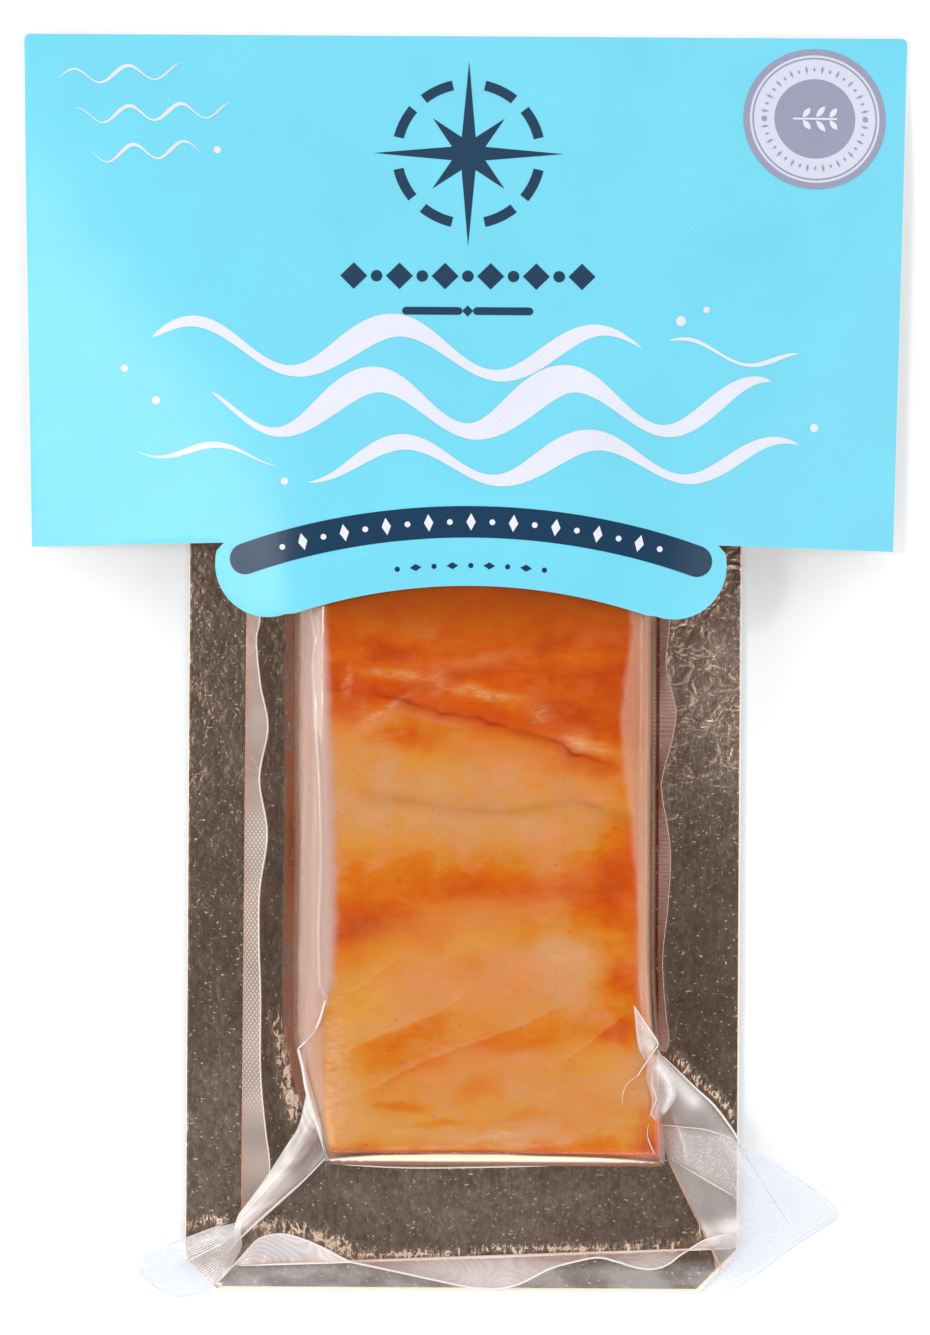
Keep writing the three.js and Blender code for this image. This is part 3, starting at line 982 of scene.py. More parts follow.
# Painted reflection: where the foil is made darker, or lighter where below zero, as where it would
# mirror darker or lighter parts of the room: middle, half width, half length, turn, amount
PAINTED_REFLECTION = [
    (-55, -3, 9, 24, 0, 0.045), (-53, -60, 9, 34, 0, 0.04), (-52, -98, 8, 17, 0, -0.08),
    (54, 4, 9, 22, 0, -0.05), (54, -72, 8, 26, 0, 0.025), (0, -118, 50, 11, 0, -0.09)]


def board_outline():
    left = BOARD["x"] - BOARD["width"] / 2
    right = BOARD["x"] + BOARD["width"] / 2
    lower, upper = BOARD["lower_y"], BOARD["upper_y"]
    left_cut, right_cut = BOARD["left_cut"], BOARD["right_cut"]
    return [
        (left + left_cut, lower), (right - right_cut, lower), (right, lower + right_cut),
        (right, upper), (left, upper), (left, lower + left_cut)]


def pitted_at(x, y):
    """How rough the foil is: more so towards the header, most of all on the right."""
    return mix(0.45, 0.8, ease(-70, -10, y)) + 0.5 * ease(20, 50, x) * ease(-50, 0, y)


def board_piece(foil, core):
    """The board is foil-faced, with its white core at the cut edges."""
    bm = slice_up(flat_shape(board_outline()), BOARD_SLICE)
    drape(bm, lambda x, y: BOARD_Z)
    thicken(bm, BOARD["thick"])
    for face in bm.faces:
        face.material_index = 0 if abs(face.normal.z) > 0.5 else 1
    for face in round_rim(bm, offset=0.3, segments=3, material=-1):
        face.material_index = 1 if face.normal.z < 0.6 else 0
    paint(bm, "crinkle", lambda v: max(near(v.co.x, v.co.y, line, width) for line, width in CRINKLES))
    paint(bm, "pitted", lambda v: pitted_at(v.co.x, v.co.y))
    # Painted reflection: darker and lighter patches on the foil
    paint(bm, "painted_reflection", lambda v: patches_at(v.co.x, v.co.y, PAINTED_REFLECTION))
    made = piece("foil_board", smooth_faces(bm, 60), "foil_board", foil, core)
    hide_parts("backing_board")


# Fillet

# Reddish crease across the fillet, the fainter one below it, and pale lines between the flakes
CREASE = [
    (-27.8, -4.6), (-24, -5.1), (-14.2, -6.7), (-7.2, -8.8), (-5, -9.9), (-0.6, -10.1), (3.7, -10.9),
    (7.5, -12), (11.3, -13.3), (16.8, -14.6), (21.1, -16), (23.9, -18.1), (27.7, -19.3), (32.5, -20.6)]
FAINT_CREASE = [
    (-22.8, -26.6), (-16.8, -27.6), (-11.4, -28.4), (-8.1, -29.2), (-2.7, -30.2), (3.8, -30.5),
    (11.4, -30.7), (14.7, -29.9), (20.1, -29), (23.9, -28.2), (27.7, -29.5), (32.1, -31.1), (36, -31.6)]
FLAKE_LINES = [
    [(-28.5, -72.6), (-20.9, -67.7), (-14.4, -62.7)],
    [(-26.3, -82.4), (-15.4, -77.9), (-4.6, -73.5), (0.8, -69.7)],
    [(-18.1, -89.4), (-6.7, -83.3), (10.6, -77.2), (18.8, -73.4)],
    [(23.7, -82.6), (30.7, -77.1), (32.9, -75.5)]]

# Edges of the coloured top face, from the tongue down. Beyond them the flesh is pale.
LEFT_EDGE = [
    (22, -31.5), (12, -30), (5.5, -29.3), (-10.8, -28.3), (-32.6, -27.4), (-43.4, -27.1), (-56.3, -27),
    (-67.1, -27.2), (-71.5, -28.6), (-76, -30.5), (-84, -33), (-108, -34)]
RIGHT_EDGE = [
    (25, 35.6), (11.3, 35.9), (8.6, 36.2), (-3.4, 34.8), (-13.2, 34.1), (-21.3, 35.1), (-29.5, 35.9),
    (-32.2, 36.4), (-37.6, 36.7), (-45, 37.6), (-55.9, 38.2), (-66.8, 38.3), (-76, 40), (-84, 43),
    (-108, 46)]

# Smoke colour across the fillet at each height, from the tongue down
SMOKE_BANDS = [
    (30, 0.84), (16, 0.84), (10, 0.76), (5, 0.73), (2, 0.82), (-2, 0.74), (-6, 0.84), (-10, 0.8),
    (-13, 0.5), (-17, 0.42), (-22, 0.25), (-27, 0.14), (-32, 0.1), (-37, 0.22), (-41, 0.42), (-45, 0.54),
    (-50, 0.54), (-55, 0.48), (-60, 0.34), (-66, 0.24), (-71, 0.22), (-76, 0.3), (-81, 0.33), (-86, 0.2),
    (-91, 0.15), (-96, 0.12), (-100, 0.2), (-103, 0.6), (-108, 0.9)]

# How far the bands slope down to the right, in mm for each mm
BAND_SLOPES = [
    (30, 0.05), (4, 0.12), (-8, 0.24), (-20, 0.16), (-30, 0.06), (-45, 0.0), (-58, -0.12), (-75, -0.28),
    (-90, -0.2), (-104, 0.0)]

# Soft patches: middle, half width, half length, turn in degrees, and how much smoke they add
PATCHES = [
    (-15.9, 3.4, 6, 2.2, -5, 0.25), (19.4, 5, 5, 2.2, 20, 0.3), (12, 0.5, 12, 2.4, 24, -0.12),
    (-14, 9, 14, 3, 0, -0.1), (-13.2, -1.8, 9, 1.5, -4, -0.3), (4.8, -5.8, 9, 1.8, -10, -0.33),
    (26, -16, 6, 2.2, -10, -0.45), (24, -9, 8, 5, 0, 0.2), (-24.5, -9, 5, 4.5, 0, 0.4),
    (-10, -15, 10, 3, -12, 0.3), (24, -21, 9, 2.5, 0, 0.25), (8, -23, 24, 4.5, 0, -0.12),
    (-18, -33, 12, 3.5, 0, -0.1), (33.5, -40, 5, 7, 0, 0.3), (31, -55, 8, 12, 0, 0.3),
    (-20, -56, 11, 6, 8, 0.48), (-3, -47, 12, 3, 0, 0.25), (16, -48, 14, 3, 0, 0.15),
    (23, -62, 8, 8, 0, -0.4), (-4, -66, 16, 6, 12, -0.25), (2, -64, 4, 3, 0, 0.45),
    (-12, -80, 16, 3, 20, 0.2), (19, -80, 15, 3.5, 15, 0.25), (34.5, -77.5, 5, 4.5, -20, 0.4),
    (-26, -92, 5, 12, 0, -0.25), (-13.2, -93.4, 6, 1.4, 0, 0.45), (4.7, -89.8, 5, 2.4, 20, 0.4),
    (14.5, -95, 4.5, 1.2, 0, 0.4), (-4, -97.7, 6, 1.2, 5, 0.4), (41, -99, 4, 8, 0, 0.35),
    (10, -100, 20, 1.6, 2, -0.2), (35, -4, 5, 8, 0, 0.25), (35, -31, 5, 8, 0, 0.25),
    (0, -1.5, 12, 2.4, 0, 0.2), (35, -67, 4, 5, 0, 0.45), (-8, -83, 7, 2, 22, 0.2),
    (-27, -45, 4, 3, 0, -0.25)]
PINK = [
    (-17, -11.5, 9, 1.6, 30, 0.7), (-24, -13, 5, 3, 0, 0.4), (4, 1.5, 10, 1.5, 10, 0.4),
    (2, -54, 16, 4, 8, 0.65), (-8, -66, 18, 5, 12, 0.7), (8, -70, 14, 6, 10, 0.6),
    (12, -86, 20, 4, 12, 0.45), (22, -25, 12, 4, 0, 0.45), (-4, -86, 14, 3, 20, 0.4),
    (24, -93, 12, 3.5, 10, 0.55), (9, -19, 14, 4, -8, 0.5)]
GOLD = [
    (-21, -72, 8, 7, 20, 0.7), (-24, -88, 6, 12, 0, 0.4), (-10, -98, 14, 5, 0, 0.35),
    (6, -58, 9, 3, 10, 0.45), (-16, -60, 8, 4, 10, 0.45), (30, -84, 7, 4, -20, 0.35),
    (-20, -38, 10, 4, 0, 0.35)]
FAT = [
    (-13.2, -1.6, 7, 0.9, -6, 0.45), (-5, -3.4, 1.6, 4.2, 8, 0.25), (4.8, -5.5, 6.5, 1.0, -8, 0.6),
    (16.8, -9.5, 2.6, 3, 0, 0.35), (26, -16.3, 5.6, 1.4, -12, 0.5), (-16.5, -9.5, 7, 0.9, 32, 0.45),
    (8.3, -99.8, 6, 0.8, 8, 0.8), (-12, -99, 3, 0.6, 10, 0.5), (17, -101.5, 10, 0.6, 4, 0.4),
    (-2, -102, 16, 0.6, 2, 0.45), (-27, -87, 3.4, 14, 0, 0.75), (24, -61, 6, 3, -15, 0.4),
    (-24.3, -3, 0.8, 4, -8, 0.3)]


def curve_x(points, y):
    """The x at a given y on a line of (y, x) points that runs down the part."""
    for (high, a), (low, b) in zip(points, points[1:]):
        if y >= low:
            return mix(a, b, ease(0, high - low, high - y) * 0.4 + clamp((high - y) / (high - low)) * 0.6)
    return points[-1][1]


def fillet_height(x, y):
    """Top of the flesh, a little inside the film."""
    fold = 0.28 * near(x, y, CREASE, 1.3) + 0.1 * near(x, y, FAINT_CREASE, 1.2)
    return block_height(x, y, FLESH_INSET) * (1 - (fold + 0.4) / BLOCK["height"])


def flake_steps(x, y):
    """Smoke beside the flake lines: more of it just under a line, less just above."""
    total = 0.0
    for line in FLAKE_LINES:
        above = height_over_line(x, y, line)
        side = mix(0.17, -0.09, ease(-0.25, 0.25, above))
        total += side * ridge(above, 3.2)
    return total


def smoke_at(x, y):
    warp_x = x + 2.2 * wander(x, y, 9, 3) + 0.8 * wander(x, y, 3, 4)
    warp_y = y + 2.0 * wander(x, y, 8, 7) + 0.8 * wander(x, y, 3, 9)
    level_y = warp_y + curve_x(BAND_SLOPES, y) * (warp_x - 5)
    bands = curve_x(SMOKE_BANDS, level_y) + patches_at(warp_x, warp_y, PATCHES)
    return bands + flake_steps(x, y + 0.4 * wander(x, y, 5, 27))


def frayed(x, y):
    """The point moved a little at random, which makes soft edges uneven."""
    return x + 0.9 * wander(x, y, 4, 11) + 0.35 * wander(x, y, 1.3, 13), y + 0.6 * wander(x, y, 4, 17)


def crease_at(x, y):
    x, y = frayed(x, y)
    strength = (0.35 + 0.65 * ease(-26, -4, x)) * ease(33, 27, x)
    strength *= 0.5 + 0.5 * ease(-0.4, 0.35, wander(x, y, 5, 23))
    return (0.62 * near(x, y, CREASE, 0.36) + 0.34 * near(x, y, CREASE, 1.0)) * strength


# Brown flesh, partly painted shade: browner at the top, its own smoke and painted shade under the header's
# tongue, and painted shade at the lower right corner. The faint crease, the lower edge and the lower left
# corner are its own colour.
def brown_and_shade_at(x, y):
    x, y = frayed(x, y)
    uneven = (0.7 + 0.3 * ease(-0.3, 0.3, wander(x, y, 5, 29))) * ease(-24, -14, x)
    faint = (0.1 * near(x, y, FAINT_CREASE, 0.6) + 0.15 * near(x, y, FAINT_CREASE, 1.6)) * uneven
    left_corner = 1.2 * ridge(x + 26, 9) * ease(-101, -105, y)
    right_corner = 0.45 * ridge(x - 44, 4) * ease(-96, -105, y)
    lower_edge = 0.3 * ease(-102.5, -105.5, y)
    return 0.7 * ease(0, 17, y) + faint + lower_edge + left_corner + right_corner


def fat_at(x, y):
    bent_y = y + 0.4 * wander(x, y, 5, 27)
    flakes = max(near(x, bent_y, line, 0.34) for line in FLAKE_LINES)
    flakes *= 0.6 + 0.5 * wander(x, y, 2.5, 33)
    x, y = frayed(x, y)
    seam = 0.2 * ridge(x - curve_x(RIGHT_EDGE, y) - 0.5, 0.4) * ease(-84, -78, y)
    return patches_at(x, y, FAT) + 0.46 * flakes + seam


def rind_at(x, y, height):
    """The pale flesh beyond the edges of the coloured top face."""
    left = ease(1.5, -1.3, x - curve_x(LEFT_EDGE, y) + 0.6 * wander(x, y, 4, 15))
    right = x - curve_x(RIGHT_EDGE, y) + 0.4 * wander(x, y, 3, 19)
    strip = ease(-1.0, 1.0, right) * mix(0.5, 0.1, clamp(right / 4)) * ease(-86, -78, y)
    return clamp(max(left, strip) * ease(3, 8, height))


def tan_at(x, y):
    streaks = 0.75 + 0.5 * wander(x * 3, y / 9, 1.5, 21)
    return ease(-0.2, 2.5, x - curve_x(RIGHT_EDGE, y)) * streaks * ease(-88, -80, y)


def red_at(x, y):
    x, y = frayed(x, y)
    edge = 0.35 * ridge(curve_x(RIGHT_EDGE, y) - x, 2.2) * ease(-28, -36, y) * ease(-84, -76, y)
    return edge + 0.5 * near(x, y, CREASE, 2.2)


def fillet_colours(bm):
    """Paints the numbers that colour the flesh."""
    paint_shares(
        bm, smoke=smoke_at, crease=crease_at, brown=brown_and_shade_at,
        pink=lambda x, y: patches_at(*frayed(x, y), PINK),
        gold=lambda x, y: patches_at(*frayed(x, y), GOLD), fat=fat_at, tan=tan_at, red=red_at)
    paint(bm, "rind", lambda v: rind_at(v.co.x, v.co.y, v.co.z - BLOCK_Z))


def fillet_piece(flesh):
    lower, upper = BLOCK["lower_y"] + FLESH_INSET, BLOCK["upper_y"]
    ends = [(0, 0), (0.14, 0.1), (0.86, 0.9), (1, 1)]

    def place(u, v):
        y = mix(lower, upper, spread([(0, 0), (0.06, 0.035), (1, 1)], v))
        left = block_side(BLOCK_LEFT, y)[0] + FLESH_INSET
        right = block_side(BLOCK_RIGHT, y)[0] - FLESH_INSET
        x = mix(left, right, spread(ends, u))
        return Vector((x, y, BLOCK_Z + fillet_height(x, y)))

    bm = grid(216, 420, place)
    fillet_colours(bm)
    rim = [edge for edge in bm.edges if edge.is_boundary]
    bmesh.ops.holes_fill(bm, edges=rim, sides=0)
    return piece("fillet_block", bm, "fillet", flesh)


# Pouch

POUCH_LOWER_LEFT = (-49.9, -130.4)
LEFT_SEAM = [(-46.6, 88), (-47.2, -121)]
RIGHT_SEAM = [(42.9, 88), (43.1, -82)]
LOWER_SEAM = [(-47.5, -130), (59.5, -125.6)]
# The film's wavy crease beside the fillet, as (y, x), from the tongue down
LEFT_CREASE = [
    (22, -33), (12, -32.3), (5.4, -31.4), (0, -31.9), (-10.9, -31.3), (-16.3, -30.8), (-21.7, -30.4),
    (-27.1, -30.1), (-38, -29.8), (-43.4, -29.8), (-56.3, -30.2), (-67.2, -29.9), (-71, -28.5),
    (-76, -29.6)]

# Free edges of the seams, as (x, y) along them
LEFT_SEAM_EDGE = [
    (-44.6, 88), (-43.2, 66), (-44.6, 44), (-43.4, 24), (-43.6, 10.6), (-44.3, 5.4), (-43.4, -4),
    (-41.8, -13.1), (-43.5, -24.3), (-41.8, -36.1), (-43.3, -48.2), (-43.4, -59.4), (-43, -71.4),
    (-42.9, -87.4), (-41.9, -99.2), (-40.9, -108), (-41.6, -115), (-43.5, -119)]
RIGHT_SEAM_EDGE = [
    (45.4, 88), (44.4, 66), (45.6, 44), (44.2, 24), (44.8, 10.3), (44.2, 0.2), (46.4, -10.2),
    (43.6, -22.9), (43.4, -27), (45.3, -39), (44.9, -50.9), (43.8, -62.9), (44.6, -74.8), (45.3, -80),
    (44.6, -83)]
LOWER_SEAM_EDGE = [
    (-51, -132), (-46.4, -127), (-43.1, -123.8), (-38.7, -122.9), (-33.8, -123.7), (-28.5, -125.7),
    (-23.8, -128), (-20, -128.9), (-12, -130.6), (-4.1, -132.4), (2.6, -133.9), (8.6, -134.3),
    (13.4, -133), (19.8, -129.5), (25.2, -127.9), (30.2, -127), (34.3, -127.9), (38.2, -129.1),
    (41.8, -129.5), (45.1, -128.5), (48.3, -126.1), (53, -123.4), (57.5, -122.6), (60.4, -123.2)]

# Folds of the two pulled-out corners, as lines from the block to the tip
LEFT_RIBBON = [
    [(-31.5, -84, 14), (-33, -92, 9), (-34.6, -99, 6.5), (-37.2, -103.5, 5.8), (-42.4, -111.6, 5),
     (-47.6, -118.6, 4.4)],
    [(-30, -92, 13), (-31.5, -99, 9.5), (-34.3, -104.5, 8.8), (-38.2, -109.5, 8.2), (-43.5, -115.5, 7.4),
     (-48.3, -120.8, 5.8)],
    [(-28.6, -106.3, 2.6), (-31.5, -109.2, 2.8), (-34.5, -112.2, 3), (-39, -116.2, 3.2),
     (-43.6, -120.2, 3.4), (-48.6, -124.4, 3.6)]]
LEFT_FLAP = [
    [(-46.5, -118.5, 4.6), (-48.1, -120.4, 4.4), (-53.1, -121.7, 3.4), (-58.3, -123.8, 2.4),
     (-62.4, -125.4, 1.6), (-66.4, -127.5, 0.9), (-68.9, -130.3, 0.4)],
    [(-47, -121.5, 5.8), (-48.6, -123.5, 5.4), (-52.5, -127, 4.4), (-57, -129.5, 3.3),
     (-61.5, -131.2, 2.2), (-65.5, -132, 1.2), (-69.1, -131.4, 0.4)],
    [(-46.8, -125.4, 3.6), (-48.2, -128.5, 3.4), (-50.5, -132.2, 3), (-54.8, -135.6, 2), (-60, -137, 1),
     (-65, -135.4, 0.5), (-68.6, -132.6, 0.3)]]
RIGHT_WEB = [
    [(41.5, -78, 17), (43.7, -83.4, 13), (50.7, -90.3, 10), (55.2, -94.6, 7.6), (59.6, -100.6, 5.2),
     (61.3, -103.8, 4), (68.9, -107.6, 2.6), (75.8, -112, 1.6), (80.8, -116, 0.8), (82.2, -118.8, 0.3)],
    [(41.8, -89, 13), (45.8, -93.8, 12), (50.8, -98, 10), (55.5, -102.5, 8), (60, -107.5, 5.6),
     (64.5, -111.6, 4), (69, -114.4, 3), (74, -116.9, 2), (79, -118.4, 1), (82.1, -119, 0.3)],
    [(43.3, -99, 8), (47.3, -104.5, 7), (51.6, -109.6, 6), (56, -114.6, 5), (60.2, -118.4, 4),
     (64.2, -120.6, 3), (68.4, -121.8, 2.2), (73, -122.2, 1.4), (77.5, -121.3, 0.8), (82, -119.4, 0.3)],
    [(45.3, -106.5, 2.8), (48.8, -113.4, 2.7), (52.4, -120.6, 2.7), (55.4, -127.6, 2.6),
     (56.6, -134.8, 2), (61, -134.2, 1.2), (66.4, -130.2, 0.6), (71.5, -126.3, 0.4), (76.5, -123, 0.3),
     (81.8, -119.8, 0.2)]]
TOP_FLAP = [
    [(37.1, -71.8, 22.6), (39.4, -75.3, 23), (42.2, -79.6, 21.2)],
    [(37.1, -72.6, 22.6), (38.6, -78, 23.2), (41.3, -81.2, 21.4)],
    [(37.2, -73.4, 22.4), (38, -80, 22.6), (39.7, -84, 21.8)]]

CURL = [
    [(40.2, -82, 22.4), (39.8, -87, 22.8), (41, -91.5, 22.4), (40.4, -96, 22)],
    [(42.2, -82.5, 21), (42, -87.5, 21.2), (43, -91.8, 20), (41.6, -96.4, 20.6)],
    [(43.6, -83.4, 16), (46, -88, 14.5), (46.4, -92.4, 13), (42.8, -97, 15)]]

# Painted highlights on the corner films, as lines
CURL_HIGHLIGHT = [(42.4, -85), (44.6, -88.2), (45.4, -91.4), (44, -94.6)]
LEFT_FOLD_LINE = [(-34.5, -82), (-33, -88), (-31.4, -95), (-29.4, -102), (-28.5, -106.5)]
WEB_HIGHLIGHT = [(43.8, -85), (47.5, -89), (50.5, -92.8)]
WEB_FOOT_HIGHLIGHT = [(53, -122.5), (60, -120.8)]

# Rolled edges and folds of film: points, radius, and how bright a highlight is painted on them
FOLDS = {
    "fold_left_upper": (
        [(-28.6, -71, 22.8), (-30.7, -77.4, 21), (-34.5, -81.8, 16.5)], 0.28, 0.8),
    "fold_left_block": (
        [(-34.5, -81.8, 16.5), (-33.4, -85.8, 15.5), (-32.6, -90.3, 15), (-31.4, -94.7, 14),
         (-29.9, -99.9, 12), (-28.6, -106.3, 3.4)], 0.62, 0.9),
    "fold_left_ribbon": (
        [(-28.5, -106.1, 3), (-33.9, -111.6, 3.6), (-38.7, -115.9, 4), (-43.3, -120.1, 4.2),
         (-47.6, -124.2, 4.6), (-50.2, -127.2, 3.6)], 0.28, 0.95),
    "fold_left_rim": (
        [(-50, -120.5, 4), *LEFT_FLAP[0][2:6], (-69, -130.4, 0.4), *LEFT_FLAP[2][:2:-1]], 0.1, 0.9),
    "fold_right_rim": (
        [*RIGHT_WEB[0][5:9], (82.2, -119, 0.3), *RIGHT_WEB[3][8:4:-1]], 0.1, 0.9),
    "fold_left_flap": (
        [(-50.5, -124.6, 6), (-54.5, -126.8, 4.6), (-61, -130.6, 2.4)], 0.12, 0.9),
    "fold_right_top": (
        [(37.1, -71.8, 22.7), (39.4, -75.3, 23), (42.2, -79.6, 21.3), (41.5, -81.4, 21.4), (39.7, -84, 22.4),
         (37.9, -86.8, 22.8)], 0.17, 0.85),
    "fold_right_tail": (
        [(37.9, -86.8, 22.8), (35.6, -88.6, 22.8), (34.7, -91.4, 22.8), (34.9, -93, 22.7)], 0.07, 0.45),
    "fold_curl_inner": (
        [(41.6, -84.6, 21), (41, -88.4, 22.2), (42, -91.6, 21.6), (40.9, -94.6, 22), (41.9, -96.2, 21)],
        0.13, 0.8),
    "fold_curl_outer": (
        [(41.9, -85.2, 20.8), (44.2, -88.2, 18), (45.2, -91.6, 15.5), (43.8, -94.8, 16)], 0.2, 0.9),
    "fold_right_block": (
        [(40.4, -97, 22), (40.2, -99.6, 22), (41.6, -103.2, 21), (43.6, -105.8, 8)], 0.12, 0.6),
    "fold_web_edge": (
        [(43.7, -83.2, 13.6), (50.7, -90.1, 10.5), (55.2, -94.4, 8), (59.6, -100.4, 5.6),
         (61.3, -103.6, 4.4)], 0.26, 0.9),
    "fold_web_outer": (
        [(61.3, -103.6, 4.4), (66.6, -112.4, 3.4), (71.9, -120.6, 1.8)], 0.14, 0.9),
    "fold_web_curve": (
        [(43.4, -98.2, 11), (48, -98.6, 10.4), (53.6, -99.4, 9.6), (59.3, -101.6, 6.6)], 0.13, 0.8),
    "fold_web_crease": (
        [(45.7, -105.8, 5.5), (52.6, -109.9, 6.8), (59.6, -114, 5.4)], 0.13, 0.8),
    "fold_web_foot": (
        [(45.4, -106.6, 2.9), (50.6, -117, 2.9), (55.5, -126.8, 2.9), (57.3, -130.4, 2.6)], 0.2, 0.0),
    "fold_foot": (
        [(-28.8, -107.7, 2.6), (-10, -108.5, 2.7), (17.6, -107.9, 2.7), (45.2, -106.6, 2.6)], 0.22, 0.95)}


def sheet_wrinkles(x, y, height):
    """Small upright pleats in the film on the block's walls, and soft pillows on the board."""
    wall = ease(0.5, 3, height) * ease(19.8, 16, height) * mix(0.35, 1.0, ease(30, 36, x))
    pleats = 0.22 * wander(x, y / 14, 0.55, 31) + 0.12 * wander(x, y / 5, 0.3, 37)
    crease = 0.3 * ridge(x - curve_x(LEFT_CREASE, y), 0.45) * ease(-76, -70, y)
    pillows = 0.22 * abs(wander(x, y, 9, 5)) * ease(1.5, 0.2, height)
    return wall * pleats + crease + pillows


# Painted shade: dark lines in the gap along the block's right foot, in mm out from its wall
FOOT_SHADE_LINES = (-0.35, 0.5)


def sheet_reflection_and_shade(x, y):
    """Painted reflection and shade at the block's foot: the fillet's orange mirrored in the foil,
    spread on the left, and thin dark lines of shade elsewhere.
    """
    from_left = x - block_side(BLOCK_LEFT, y)[0]
    ragged = from_left + 0.5 * wander(x, y, 3, 71) + 0.35 * wander(x, y, 0.8, 75)
    dark = ridge(y + 39, 11) * ease(-2.3, -0.9, from_left)
    # Painted reflection: the fillet's orange wall mirrored in the foil on the left
    mirrored_fillet = ease(-2.7, -2.1, ragged) * ease(1.5, 0.2, from_left) * ease(-101, -92, y)
    mirrored_fillet *= 0.36 + 0.24 * wander(0, y / 3, 2, 73) + 0.38 * dark
    from_right = x - block_side(BLOCK_RIGHT, y)[0] + 0.1 * wander(0, y, 2, 77)
    # Painted shade: dark lines in the gap at the right foot
    right = max(ridge(from_right - place, 0.36) for place in FOOT_SHADE_LINES) * ease(-84, -76, y)
    front = ease(-105.3, -105.8, y) * ease(-107.9, -107.5, y) * ease(-27.5, -24, x) * ease(45, 42, x)
    front *= 0.45 + 0.35 * wander(x / 5, y * 2.5, 1, 79)
    return clamp(max(mirrored_fillet, 0.95 * right, front))


def lower_glare(x, y):
    """The long painted highlight on the block's lower wall, a strip with pointed ends."""
    share = clamp((x + 28.7) / 72.6)
    top = mix(-105.7, -103.7, math.sin(math.pi * share ** 0.8) ** 0.6) + 0.25 * wander(x, 0, 12, 81)
    foot = -105.6 + 0.25 * wander(x, 0, 1.2, 83)
    return ease(top + 0.2, top - 0.3, y) * ease(foot - 0.15, foot + 0.15, y)


# Painted highlights: on the film's left crease, on the strip beside it and along the lower glare
def sheet_bright(x, y):
    from_crease = x - curve_x(LEFT_CREASE, y)
    crease = 0.55 * ridge(from_crease, 0.25)
    strip = 0.3 * ease(0, 0.3, from_crease) * ease(1.4, -1.4, x - curve_x(LEFT_EDGE, y))
    return max((crease + strip) * ease(-75, -69, y), lower_glare(x, y))


def sheet_haze(x, y, height):
    """Where the film over block and board looks milky."""
    from_crease = x - curve_x(LEFT_CREASE, y)
    strip = 0.38 * ease(0, 0.3, from_crease) * ease(1.7, -1.5, x - curve_x(LEFT_EDGE, y))
    bands = 0.42 + 0.1 * math.sin(2.2 * x + 1.5 * wander(x, y / 8, 6, 41))
    bands += 0.1 * wander(x * 3, y / 6, 4, 43)
    outer = bands * ease(0.2, -0.3, from_crease) * ease(-36.2, -35.2, x)
    line = 0.36 * ridge(from_crease, 0.25)
    left = (strip + outer + line) * ease(-75, -69, y)
    facet = 0.35 * ease(-69, -76, y) * ease(-28, -30, x) * ease(0.4, 2, height)
    right_wall = ease(36.5, 38, x) * ease(41.4, 40.6, x) * ease(0.5, 3, height)
    right = right_wall * (0.05 + 0.12 * ease(0.1, 0.5, wander(x * 2, y / 16, 0.8, 47)))
    stained = min(1.6 * sheet_reflection_and_shade(x, y), 0.9)
    return clamp(max(0.003 + left + facet + right, stained, lower_glare(x, y)))


def film_sheet(film):
    """The film over block and board, out to the margins that carry the seams."""
    def place(u, v):
        y = spread([(0, POUCH_LOWER_LEFT[1] + 4 * u), (0.1, -112), (0.32, -96), (1, POUCH["upper_y"])], v)
        left, right = block_side(BLOCK_LEFT, y)[0], block_side(BLOCK_RIGHT, y)[0]
        margin_left = mix(POUCH["left_x"], POUCH_LOWER_LEFT[0], ease(-100, -130, y))
        margin_right = POUCH["right_x"] + 1.8 * ease(-57, -82, y) + 10.7 * clamp((-82 - y) / 44)
        across = [
            (0, margin_left), (0.1, left - 1), (0.42, left + 10), (0.6, right - 10), (0.9, right + 0.3),
            (1, margin_right)]
        x = spread(across, u)
        height = block_height(x, y)
        return Vector((x, y, POUCH_Z + SHEET_LIFT + height + sheet_wrinkles(x, y, height)))

    bm = grid(250, 340, place)
    # Painted highlights: the lower glare, more golden towards its top
    paint_shares(
        bm, stained=sheet_reflection_and_shade, bright=sheet_bright,
        golden=lambda x, y: lower_glare(x, y) * (0.35 + 0.65 * ease(-105.0, -104.0, y)))
    paint(bm, "haze", lambda v: sheet_haze(v.co.x, v.co.y, v.co.z - POUCH_Z - SHEET_LIFT))
    made = piece("film_sheet", bm, "clear_film", film)
    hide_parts("sealed_bag")


def seam_point(base, x, y, rise=1.0):
    """The foot of a seam below the point (x, y) of its free edge, and that point in space."""
    start, end = Vector(base[0]), Vector(base[1])
    along = (end - start).normalized()
    free = Vector((x, y))
    foot = start + along * (free - start).dot(along)
    height = math.sqrt(max(POUCH["seam"] ** 2 - (free - foot).length_squared, 4)) * rise
    lift = Vector((0, 0, POUCH_Z + SEAM_LIFT))
    return foot.to_3d() + lift, free.to_3d() + Vector((0, 0, POUCH_Z + SEAM_LIFT + height))


def seam(name, base, edge, films, rise_at, radius, bright, **numbers):
    """A sealed seam that stands up from the margin along a base line, up to its rolled free edge."""
    def place(u, v):
        free = curve_point(edge, u)
        foot, top = seam_point(base, *free, rise_at(*free))
        point = foot.lerp(top, v)
        point.x += 0.3 * math.sin(math.pi * v) * wander(point.x, point.y, 9, 61)
        return point

    length = (Vector(base[1]) - Vector(base[0])).length
    bm = grid(int(length / FILM_STEP), 12, place)
    paint_shares(bm, **numbers)
    seam_film, edge_film = films
    piece(name, bm, "clear_film", seam_film)
    rim = [seam_point(base, x, y, rise_at(x, y))[1] for x, y in edge]
    bead(name + "_edge", rim, radius, edge_film, bright)


